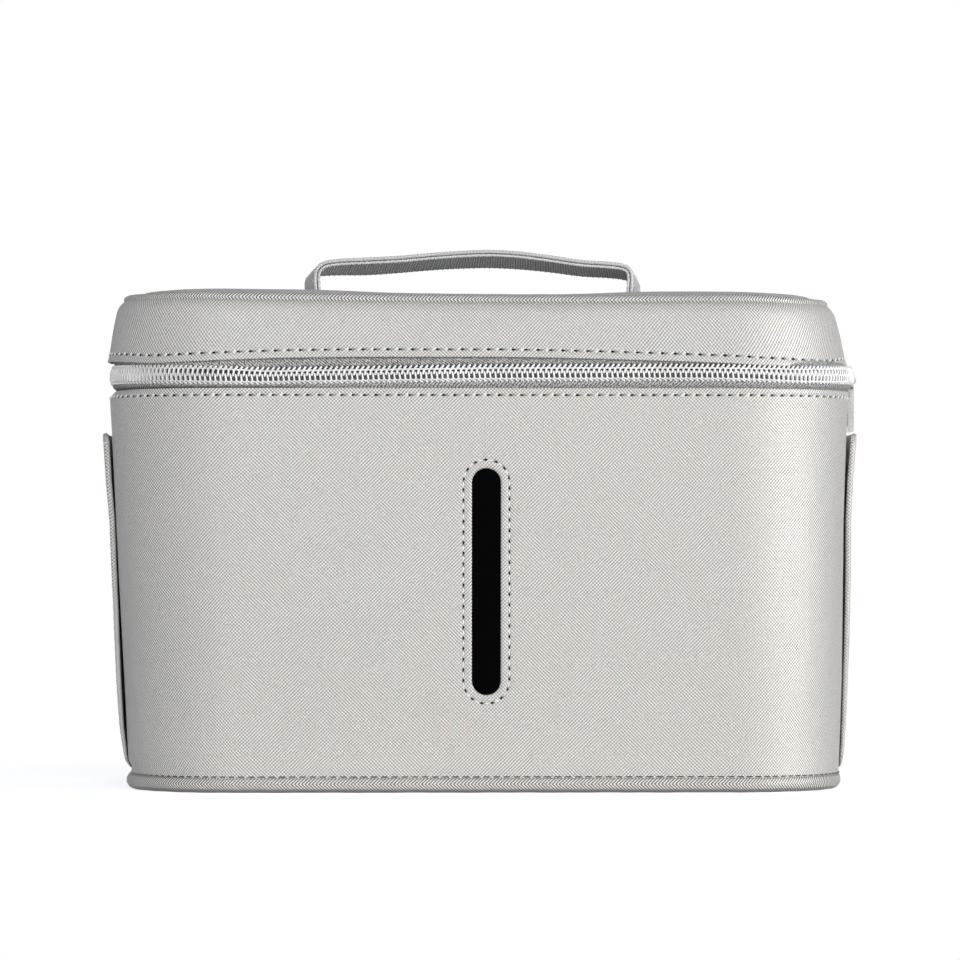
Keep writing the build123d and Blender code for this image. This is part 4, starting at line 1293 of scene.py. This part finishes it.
def lid_band():
    """Closed profile: outer face, then the same 1 mm further in, joined by the folded hem."""
    inset, z = band_profile()
    turn = np.radians(np.linspace(0, 180, 7))
    hem_inset = band_inset(LID_BOTTOM) + SKIN_T / 2 - SKIN_T / 2 * np.cos(turn)
    hem_fold_z = LID_BOTTOM + SKIN_T / 2 - SKIN_T / 2 * np.sin(turn)
    n, m = len(z), len(turn)
    all_inset = np.concatenate([hem_inset[::-1], inset, inset[::-1] + SKIN_T, hem_inset[-1:]])
    all_z = np.concatenate([hem_fold_z[::-1], z, z[::-1], hem_fold_z[-1:]])
    outer = np.concatenate([np.zeros(m - 1), np.ones(n + 1), np.zeros(n + 1)])
    s = case.stations(2.5, [OPENING_HALF_W, case.length - OPENING_HALF_W])
    side = np.clip((all_z - LID_STITCH_Z - 1.5) / 4, 0, 1) * np.clip((SHOULDER_Z - all_z) / 4, 0, 1)
    uneven = waves(s + 40, column(all_z), 0.3) * column(side) * clear_of_rear(s)
    lift = groove(column(all_z - LID_STITCH_Z), 0.2, 0.5) + uneven
    drop = sag(s) * hang(column(all_z))
    climb = lid_rise(s) * np.clip((column(all_z) - LID_BOTTOM - 6) / 11, 0, 1)
    points = ring(s, column(all_inset) - column(outer) * lift, column(all_z) + drop + climb)
    points = shift_lid(points)
    weave = surface_uv(s, column(all_z), points)
    off = np.where(column(outer) > 0, column(all_z - LID_STITCH_Z), FAR)
    seam = seam_uv(s, case.length, LID_PITCH, off, points)
    rear = (between(s) < OPENING_HALF_W) | (between(s) > case.length - OPENING_HALF_W)
    tall = np.abs(between(all_z) - OPENING_Z) < OPENING_HALF_H
    rows = np.where(tall)[0]
    outer_rows, inner_rows = rows[rows < n + m], rows[rows >= n + m]
    columns = np.concatenate([np.where(s >= case.length - OPENING_HALF_W - 1e-6)[0],
                              np.where(s <= OPENING_HALF_W + 1e-6)[0]])
    outer_loop = opening_loop(points, outer_rows[-1] + 1, outer_rows[0], columns)
    inner_loop = opening_loop(points, inner_rows[0], inner_rows[-1] + 1, columns)
    patches = [grid(points, weave, seam, tall[:, None] & rear),
               grid(np.stack([inner_loop, outer_loop]))]
    build("lid_band", patches, LEATHER, "lid", ["lid_band_skin"])
    print("opening edge", len(outer_loop), len(inner_loop))


lid_band()


def band_place(along, across, height):
    """Point of the lid's seam: inset = band + 0.2 mm of groove - height, hanging with the hem."""
    z = LID_STITCH_Z + across
    return shift_lid(ring(along, band_inset(z) + 0.2 - height, z + sag(along) * hang(z)))


thread_row("lid_stitches", case.length, LID_PITCH, band_place, "lid", **BEAD)
moved_copy("band_board", "lid_band_board", shift_lid, FOAM_BOARD, "lid")
moved_copy("top_board", "lid_top_board", shift_lid, BOARD, "lid")

# %% [markdown]
# ## The padded crown
# The top is leatherette over foam, drawn down into the cord all round. It stands highest over the
# left and right thirds and dips in the middle, where the handle's ends pull it down. A height field
# says this best: one curve from the edge inwards, plus soft bumps and dips over the plan. Small
# puckers run in from the cord and fade out.

# %% Crown
CROWN_EDGE = skin_high[0] - node_box("lid_top_skin")[1][0]
CROWN_BASE = node_box("lid_top_board")[1][2]
CROWN_RISE = node_box("lid_top_skin")[1][2] - CROWN_BASE
HANDLE_LOW, HANDLE_HIGH = node_box("handle_strap")
CROWN_STEPS = [0, 1.2, 2.6, 4.2, 7.5, 12, 18, 26, 34, 60]
CROWN_SHARES = [0.2, 0.43, 0.555, 0.635, 0.74, 0.835, 0.915, 0.975, 1.0, 1.0]
CROWN_ROWS = [0, 0.05, 0.35, 0.8, 1.3, 2, 2.8, 3.8, 5, 6.5, 8.5, 11, 14, 17.5, 21.5, 26, 31]
LEGS_AT = (HANDLE_LOW[0] + 1.5, HANDLE_HIGH[0] - 1.5)


def crown_height(x, y, deep):
    """Height over the top board: rise * profile(deep) + thirds - middle - dents at the handle."""
    base = CROWN_RISE * np.interp(deep, CROWN_STEPS, CROWN_SHARES)
    full = 1 - np.exp(-(deep / 12) ** 2)
    thirds = 0.1 * np.exp(-((x + 92) / 34) ** 2) - 0.15 * np.exp(-((x - 78) / 26) ** 2)
    right = -1.1 / (1 + np.exp((100 - x) / 8))
    middle = -1.3 * np.exp(-(x / 46) ** 4)
    legs = sum(np.exp(-(((x - leg) / 7) ** 2 + (y / 16) ** 2)) for leg in LEGS_AT)
    return base + full * (thirds + right + middle - 0.7 * legs)


def crown():
    """Closed cushion: edge under the cord, over the top to the centre, and a flat underside."""
    s = case.stations(2.2)
    edge = np.array(CROWN_ROWS)
    share = np.linspace(1, 0, 14)[1:]
    inset = CROWN_EDGE + np.concatenate([edge, np.full(len(share), edge[-1])])
    shrink = np.concatenate([np.ones(len(edge)), share])
    x, y = case.at(s, column(inset), column(shrink))
    far_in = edge[-1] + (1 - column(shrink)) * (skin_high[1] - CROWN_EDGE - edge[-1])
    deep = np.where(column(shrink) < 1, far_in, column(inset) - CROWN_EDGE) + 0 * s
    folds = 0.16 * np.sin(s * 2 * np.pi / 13.7 + 2 * np.sin(s / 31)) * clear_of_rear(s)
    puckers = folds * np.exp(-deep / 5) * np.clip(deep / 1.2, 0, 1)
    fade = column(shrink) * np.clip(1 - deep / 60, 0, 1)
    z = CROWN_BASE + crown_height(x, y, deep) + puckers + edge_rise(x) * fade
    z[0] = CROWN_BASE
    top = shift_lid(np.stack([x, y, z], -1))
    bottom = top.copy()
    bottom[..., 2] = CROWN_BASE
    under = bottom[[0, -1]][::-1]
    points = np.concatenate([under[:1], top[:1], top])
    piece = build("padded_crown", [grid(points)], LEATHER, "lid",
                  ["lid_top_skin", "lid_top_foam"], sharp=60)


crown()

# %% [markdown]
# ## The handle
# A folded leatherette strap arches over the top and goes down through the crown at both ends, with
# a ribbed grosgrain ribbon sewn under it. It is rolled a little, its rear edge lower and wider
# apart than its front edge, which is why the ribbon shows from the front. Two curves, one for each
# edge, carry a flat section between them: the surface between two curves is called ruled.

# %% Handle curves
STRAP_HALF = (HANDLE_HIGH[1] - HANDLE_LOW[1]) / 2
STRAP_T, RIBBON_T, STRAP_GAP = 1.25, 0.95, 0.28
STRAP_FOOT = node_box("lid_top_board")[0][2]
FRONT_EDGE = [(-60.8, STRAP_FOOT), (-61.2, 177), (-61.8, 183), (-61.5, 188.2), (-58.5, 191.5),
              (-52.6, 192.6), (-41.3, 193.2), (-30.3, 193.8), (-19.2, 194.8), (-8.2, 195.6),
              (2.9, 196.0), (13.9, 195.4), (25.0, 194.0), (36.0, 192.4), (46.0, 191.7),
              (52.2, 190.8), (55.3, 188.2), (55.6, 183), (54.8, 177), (54.4, STRAP_FOOT)]
REAR_EDGE = [(-63.8, STRAP_FOOT), (-64.4, 177), (-65.6, 182), (-65.2, 186.4), (-61.5, 189.5),
             (-54.4, 190.2), (-42.9, 190.3), (-32.0, 191.0), (-20.5, 192.0), (-9.0, 192.7),
             (3.0, 193.0), (14.5, 192.5), (26.0, 191.4), (37.8, 189.9), (48.0, 189.3),
             (54.8, 188.3), (58.6, 185.9), (59.6, 182), (59.1, 177), (58.3, STRAP_FOOT)]
HANDLE_STEPS = 161
STRAP_SEAM, STRAP_PITCH = 2.0, 3.6
front_curve = smooth_path(FRONT_EDGE, HANDLE_STEPS)
rear_curve = smooth_path(REAR_EDGE, HANDLE_STEPS)
middle_runs = np.diff((front_curve + rear_curve) / 2, axis=0)
walked = np.append(0, np.cumsum(np.linalg.norm(middle_runs, axis=1)))


def strap_surface(along, across, drop):
    """Point at a length along the handle, a share across it from -1 to 1 and a depth below it."""
    steps = np.arange(HANDLE_STEPS)
    mix = np.asarray((across + 1) / 2)[..., None]

    def middle_line(where):
        front, rear = (np.stack([np.interp(where, steps, curve[:, k]) for k in (0, 1)], -1)
                       for curve in (front_curve, rear_curve))
        return front * (1 - mix) + rear * mix

    i = np.interp(along, walked, steps)
    here = middle_line(i)
    run = unit(middle_line(i + 0.7) - middle_line(i - 0.7))
    x = here[..., 0] + run[..., 1] * drop
    z = here[..., 1] - run[..., 0] * drop
    return np.stack(np.broadcast_arrays(x, across * STRAP_HALF, z), -1)


def flat_band(name, node, top_drop, thickness, edge_r, finish, face_relief):
    """Strap of rounded section along the handle, with flat faces and half-round edges."""
    bend = np.radians(np.linspace(0, 180, 7))
    flat = np.linspace(-1, 1, 19)[1:-1]
    tip = edge_r / STRAP_HALF
    right = 1 - tip + tip * np.sin(bend)
    across = np.concatenate([flat, right, flat[::-1], -right, flat[:1]])
    arc = thickness / 2 * (1 - np.cos(bend))
    drop = np.concatenate([0 * flat, arc, 0 * flat + thickness, thickness - arc, [0.0]]) + top_drop
    top = np.concatenate([0 * flat + 1, 0 * bend, 0 * flat, 0 * bend, [1]])
    across, drop, top = across[::-1], drop[::-1], top[::-1]
    along = np.linspace(walked[0], walked[-1], 241)
    grid_along, grid_across = np.meshgrid(along, across, indexing="ij")
    lift = face_relief(grid_along, grid_across * STRAP_HALF, top)
    points = strap_surface(grid_along, grid_across, drop - lift)
    weave = np.stack([grid_along, grid_across * STRAP_HALF], -1)
    off = np.where(top > 0, np.abs(grid_across * STRAP_HALF) - (STRAP_HALF - STRAP_SEAM), FAR)
    seam = seam_uv(grid_along, walked[-1], STRAP_PITCH, off, points)
    middle = points.mean(1, keepdims=True)
    closed = np.concatenate([middle[:1] + 0 * points[:1], points, middle[-1:] + 0 * points[-1:]])
    weave, seam = (np.pad(uv, [(1, 1), (0, 0), (0, 0)], "edge") for uv in (weave, seam))
    build(name, [grid(closed, weave, seam)], finish, "lid", [node], sharp=50)


def strap_relief(along, across, top):
    """Pressed seam lines and a faint swell along the strap's middle, on its top face only."""
    edge = np.abs(across) - (STRAP_HALF - STRAP_SEAM)
    return top * (groove(edge, 0.18, 0.5) + 0.15 * np.exp(-(across / 8) ** 2))


def ribbon_relief(along, across, top):
    """The ribbon's edges scallop between stitches."""
    by_edge = np.exp(-((np.abs(across) - STRAP_HALF) / 1.2) ** 2)
    return 0.12 * np.sin(along * 2 * np.pi / 1.9) * by_edge


flat_band("leather_strap", "handle_strap", 0.0, STRAP_T, 0.6, STRAP_LEATHER,
          strap_relief)
flat_band("ribbed_ribbon", "handle_webbing", STRAP_T + STRAP_GAP, RIBBON_T, 0.45, GROSGRAIN,
          ribbon_relief)


def strap_seam(side):
    """Place function of the seam along one edge of the strap: depth = 0.18 mm - height."""
    def place(along, across, height):
        return strap_surface(along, side * (1 - STRAP_SEAM / STRAP_HALF) + 0 * along, 0.18 - height)

    return place


for side, label in ((-1, "front"), (1, "rear")):
    thread_row(f"strap_stitches_{label}", walked[-1], STRAP_PITCH, strap_seam(side), "lid")

# %% [markdown]
# ## The living hinge
# Across the rear there is no zip. A strip of the same leatherette is sewn to the wall and to the
# lid's band, and on the case it bends when the lid opens. Here it is one fixed piece on neither
# body: its profile runs from under the wall's edge, swells a little between, and ends above the
# band's edge.

# %% Hinge strip
HINGE_T = 0.8


def hinge_strip():
    """Closed profile of outer and inner face across the rear, with both cut ends capped."""
    tuck = skin_high[1] - node_box("hinge_tape")[1][1]
    z = np.concatenate([[TAPE_LOW], np.linspace(WALL_TOP - 0.6, LID_BOTTOM + 0.6, 21), [TAPE_HIGH]])
    swell = 0.5 * np.clip(1 - ((z - ZIP_MID) / 5.4) ** 2, 0, 1)
    marks = [TAPE_LOW, WALL_TOP, LID_BOTTOM, TAPE_HIGH]
    insets = [tuck + wall_inset(TAPE_LOW), tuck, tuck + 0.3, tuck + band_inset(TAPE_HIGH)]
    inset = np.interp(z, marks, insets) - swell
    z_all = np.concatenate([z, z[::-1], z[:1]])
    y_all = skin_high[1] - np.concatenate([inset, inset[::-1] + HINGE_T, inset[:1]])
    x = np.linspace(HINGE_HALF, -HINGE_HALF, 61)
    ripple = 0.12 * np.sin(x / 9) * np.exp(-((column(z_all) - ZIP_MID) / 3) ** 2)
    points = np.stack(np.broadcast_arrays(x, column(y_all) - ripple, column(z_all)), -1)
    faces = [grid(points, surface_uv(x, column(z_all), points))] + end_caps(points, len(z))
    strip = build("hinge_strip", faces, LEATHER, None, ["hinge_tape"], sharp=60)
    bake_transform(strip)


hinge_strip()

# %% [markdown]
# ## Side pockets
# Each end of the case carries a flat slip pocket, sewn down its two sides and along its foot, with
# a turned hem at the mouth. The panel stands a little off the wall at the mouth, which draws the
# dark line between pocket and wall in the picture. Its stand-off is a formula of the place on the
# panel: a gap that opens upwards plus a pillow in the middle.

# %% Pockets
POCKET_FOOT, POCKET_TOP = node_box("side_pocket_left")[0][2], node_box("side_pocket_left")[1][2]
POCKET_HALF = node_box("side_pocket_left")[1][1]
POCKET_MID, POCKET_RISE = (POCKET_FOOT + POCKET_TOP) / 2, POCKET_TOP - POCKET_FOOT
POCKET_SEAM = 2.9
POCKET_PITCH = 3.8
POCKET_CORNER = 5.0
BULGE_HEIGHTS = [7, 11, 15, 22, 37, 52, 67, 82, 96, 111, 126]
BULGES = {-1: [0, -0.1, 0.3, 0.87, 0.92, 0.58, 0.15, -0.1, -0.5, 0, 0],
          1: [0.1, 0.35, 0.5, 0.45, 0.15, 0.25, 0.33, 0.2, 0, 0.25, 1.15]}
panel = Outline(POCKET_HALF, POCKET_RISE / 2, POCKET_CORNER)


def pocket_surface(side, s, inset, share, depth):
    """Point of a pocket's panel: depth 0 is the face by the wall, 1 is the face outside."""
    y, up = panel.at(s, inset, share)
    z = POCKET_MID + up
    height = np.clip((z - POCKET_FOOT) / POCKET_RISE, 0, 1)
    settle = 1 - np.exp(-height * 9)
    gap = 0.25 + settle * (0.2 + 0.5 * height)
    pillow = (0.25 + 1.25 * height) * settle * (1 - np.abs(y / POCKET_HALF) ** 3)
    thick = 1.0 + settle * (0.75 + 0.35 * height)
    fuller = np.interp(z, BULGE_HEIGHTS, BULGES[side]) * (1 - 0.3 * np.abs(y / POCKET_HALF) ** 3)
    x = skin_high[0] - wall_inset(z) + gap + pillow + fuller + depth * thick
    return lean_body(np.stack(np.broadcast_arrays(side * x, y, z), -1))


def pocket(name, node, side):
    """Closed panel: inner face from its centre, round edge, outer face with its pressed seam."""
    s = panel.stations(2.5)
    bend = np.radians(np.linspace(0, 180, 9))
    into = np.array([1.3, 1.9, 2.4, 2.7, 2.9, 3.1, 3.4, 3.9, 4.6, POCKET_CORNER])
    share = np.linspace(1, 0, 13)
    inset = np.concatenate([1.0 + 0 * share, 1.0 - np.sin(bend)[1:-1], [1.0], into,
                            POCKET_CORNER + 0 * share[1:]])
    shrink = np.concatenate([share[::-1], 1 + 0 * bend[1:], 1 + 0 * into, share[1:]])
    depth = np.concatenate([0 * share, (1 - np.cos(bend[1:])) / 2, 1 + 0 * into, 1 + 0 * share[1:]])
    line = np.where(column(shrink) == 1, column(inset) - POCKET_SEAM, FAR)
    pressed = np.where(column(depth) > 0.99, 0.24 * np.exp(-(line / 0.5) ** 2), 0.0)
    points = pocket_surface(side, s, column(inset), column(shrink), column(depth))
    points[..., 0] -= side * pressed
    weave = np.stack([points[..., 1] * side + 1.9 * column(depth), points[..., 2]], -1)
    off = np.where(column(depth) > 0.99, line, FAR)
    seam = seam_uv(s, panel.length, POCKET_PITCH, off, points)
    patch = grid(*(values[:, ::side] for values in (points, weave, seam)))
    build(name, [patch], LEATHER, "case_body", [node], sharp=60)


def pocket_seam(side):
    """Place function of a pocket's seam: x = outer face + height - 0.22 mm of groove."""
    def place(along, across, height):
        points = pocket_surface(side, along, POCKET_SEAM + across, 1.0, 1.0)
        points[..., 0] += side * (height - 0.22)
        return points

    return place


for side, label in ((-1, "left"), (1, "right")):
    pocket(f"pocket_{label}", f"side_pocket_{label}", side)
    thread_row(f"pocket_stitches_{label}", panel.length, POCKET_PITCH, pocket_seam(side),
               "case_body")

# %% [markdown]
# ## Silver lining
# The inside is lined with silvered film so that the light reaches every side of what lies in the
# case. The tub has a floor, the same taper as the wall and the same window, so it uses the wall's
# rows and the window's patch at its own depth.

# %% Body lining
LINER_T = 0.5
LINER_DEPTH = 4.3
LINER_BEND = 138.5


def body_lining():
    """Closed tub: floor from its centre, wall up to the hem, then back 0.5 mm further in."""
    low, high = node_box("body_liner")
    foot_inset = skin_high[0] - node_box("base_skin")[1][0] + 0.1
    marks_z = [low[2], low[2] + 2.5, LINER_BEND, high[2]]
    marks = [foot_inset, wall_inset(marks_z[1]) + LINER_DEPTH, wall_inset(LINER_BEND) + LINER_DEPTH,
             skin_high[0] - high[0]]
    z = np.concatenate([np.linspace(marks_z[1], window_rows[0], 6)[:-1], window_rows,
                        np.linspace(window_rows[-1], LINER_BEND, 4)[1:], [high[2]]])
    inset = np.interp(z, marks_z, marks)
    floor_share = np.linspace(0, 1, 12)
    flat = 0 * floor_share
    inset_all = np.concatenate([flat + marks[0], inset, inset[::-1] + LINER_T,
                                flat + marks[0] + LINER_T])
    z_all = np.concatenate([flat + low[2], z, z[::-1], flat + low[2] + LINER_T])
    share = np.concatenate([floor_share, np.ones(2 * len(z)), floor_share[::-1]])
    points = lean_body(ring(wall_s, column(inset_all), column(z_all), column(share)))
    weave = surface_uv(wall_s, column(z_all), points)
    upright = np.abs(np.diff(z_all)) > 0.6
    skip = open_cells(between(z_all), between(wall_s)) & upright[:, None]
    rim = window_patch(LINER_DEPTH, LINER_DEPTH + LINER_T, [3.0, 1.2, 0.0, 0.0, 1.2, 3.0],
                       [0, 0, 0, -LINER_T, -LINER_T, -LINER_T], lambda s, z: 0 * z)
    build("body_lining", [grid(points, weave, None, skip), rim], LINING, "case_body",
          ["body_liner"])


body_lining()


# %% Lid lining
TRAY_HOLE = Outline(118.3, 70.3, 30.3)


def lid_lining():
    """Flat frame round the lamp tray; both outlines are read at the same share of their corners."""
    low, high = node_box("lid_lining")
    s = case.stations(4.0)
    inner_s = np.interp(s, case.breaks, TRAY_HOLE.breaks)
    inset = skin_high[0] - high[0]
    rows = [shift_lid(ring(s, inset, z)) for z in (low[2], high[2])]
    x, y = TRAY_HOLE.at(inner_s)
    for z in (high[2], low[2]):
        rows.append(np.stack([x, y, 0 * x + z], -1))
    points = np.stack(rows + rows[:1])
    build("lid_lining_frame", [grid(points)], LINING, "lid", ["lid_lining"])


lid_lining()

# %% [markdown]
# ## Lamp lenses
# Each lamp chip carries a small clear dome on its underside. One half sphere is made once and moved
# to the chips' places.

# %% Domes
HALF_CHIP = 1.75
DOME_R, DOME_H = 1.25, 0.85
LENS = grained("clear_silicone_dome", tone(214, 226, 232), tone(232, 240, 244), 3.0, 0.12,
               depth=0.004, Transmission_Weight=0.75, IOR=1.41)


def lamp_domes():
    """Half ellipsoids: x, y = chip + R cos a (cos f, sin f), z = foot + H sin a, with a below 0."""
    low, high = node_box("uv_leds")
    across = np.linspace(low[0] + HALF_CHIP, high[0] - HALF_CHIP, 6)
    along = np.linspace(low[1] + HALF_CHIP, high[1] - HALF_CHIP, 4)
    place = np.stack(np.meshgrid(across, along, indexing="ij"), -1).reshape(-1, 1, 1, 2)
    a = np.radians(np.linspace(-90, 0, 6))
    f = np.radians(np.linspace(0, 360, 17))
    r = np.append(np.cos(a), 0.0) * DOME_R
    h = np.append(np.sin(a), 0.0) * DOME_H
    x = place[..., 0] + column(r) * np.cos(f)
    y = place[..., 1] + column(r) * np.sin(f)
    z = np.broadcast_to(column(h), x.shape) + low[2] + 0.02
    build("lamp_domes", [grid(np.stack([x, y, z], -1))], LENS, "lid")


lamp_domes()

# %% [markdown]
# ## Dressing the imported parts
# Boards, screws, the lamp module, the zip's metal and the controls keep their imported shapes. Each
# takes one of the finishes.

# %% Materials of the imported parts
CHIP = grained("ceramic_chip", tone(236, 226, 176), tone(244, 240, 214), 2.4, 0.4, depth=0.01)
DRESS = {
    BOARD: ["base_board"],
    ACRYLIC: ["window_lens"],
    MAGNET: ["lid_magnet"],
    NICKEL: ["zip_end_stops", "zip_slider_front", "zip_slider_rear", "zip_puller_front",
             "zip_puller_rear", "charge_socket"],
    FOAM: ["battery_pad"],
    ZINC: ["handle_anchor_plates", "handle_rivets", "tray_screws", "led_board_screws",
           "board_screws"],
    WHITE: ["lamp_tray", "power_button"],
    MASK: ["led_board", "control_board"],
    CHIP: ["uv_leds"],
    WRAP: ["battery_pack"],
    RIBBON: ["ribbon_cable"],
    BLACK: ["reed_switch", "switch_plunger", "switch_housing"],
    GREY: ["control_plate"],
    LIGHT_PIPE: ["status_light"],
}
for finish, names in DRESS.items():
    for name in names:
        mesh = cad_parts[name].data
        mesh.materials.clear()
        mesh.materials.append(finish.material)
print("dressed", sum(len(names) for names in DRESS.values()), "packed parts")
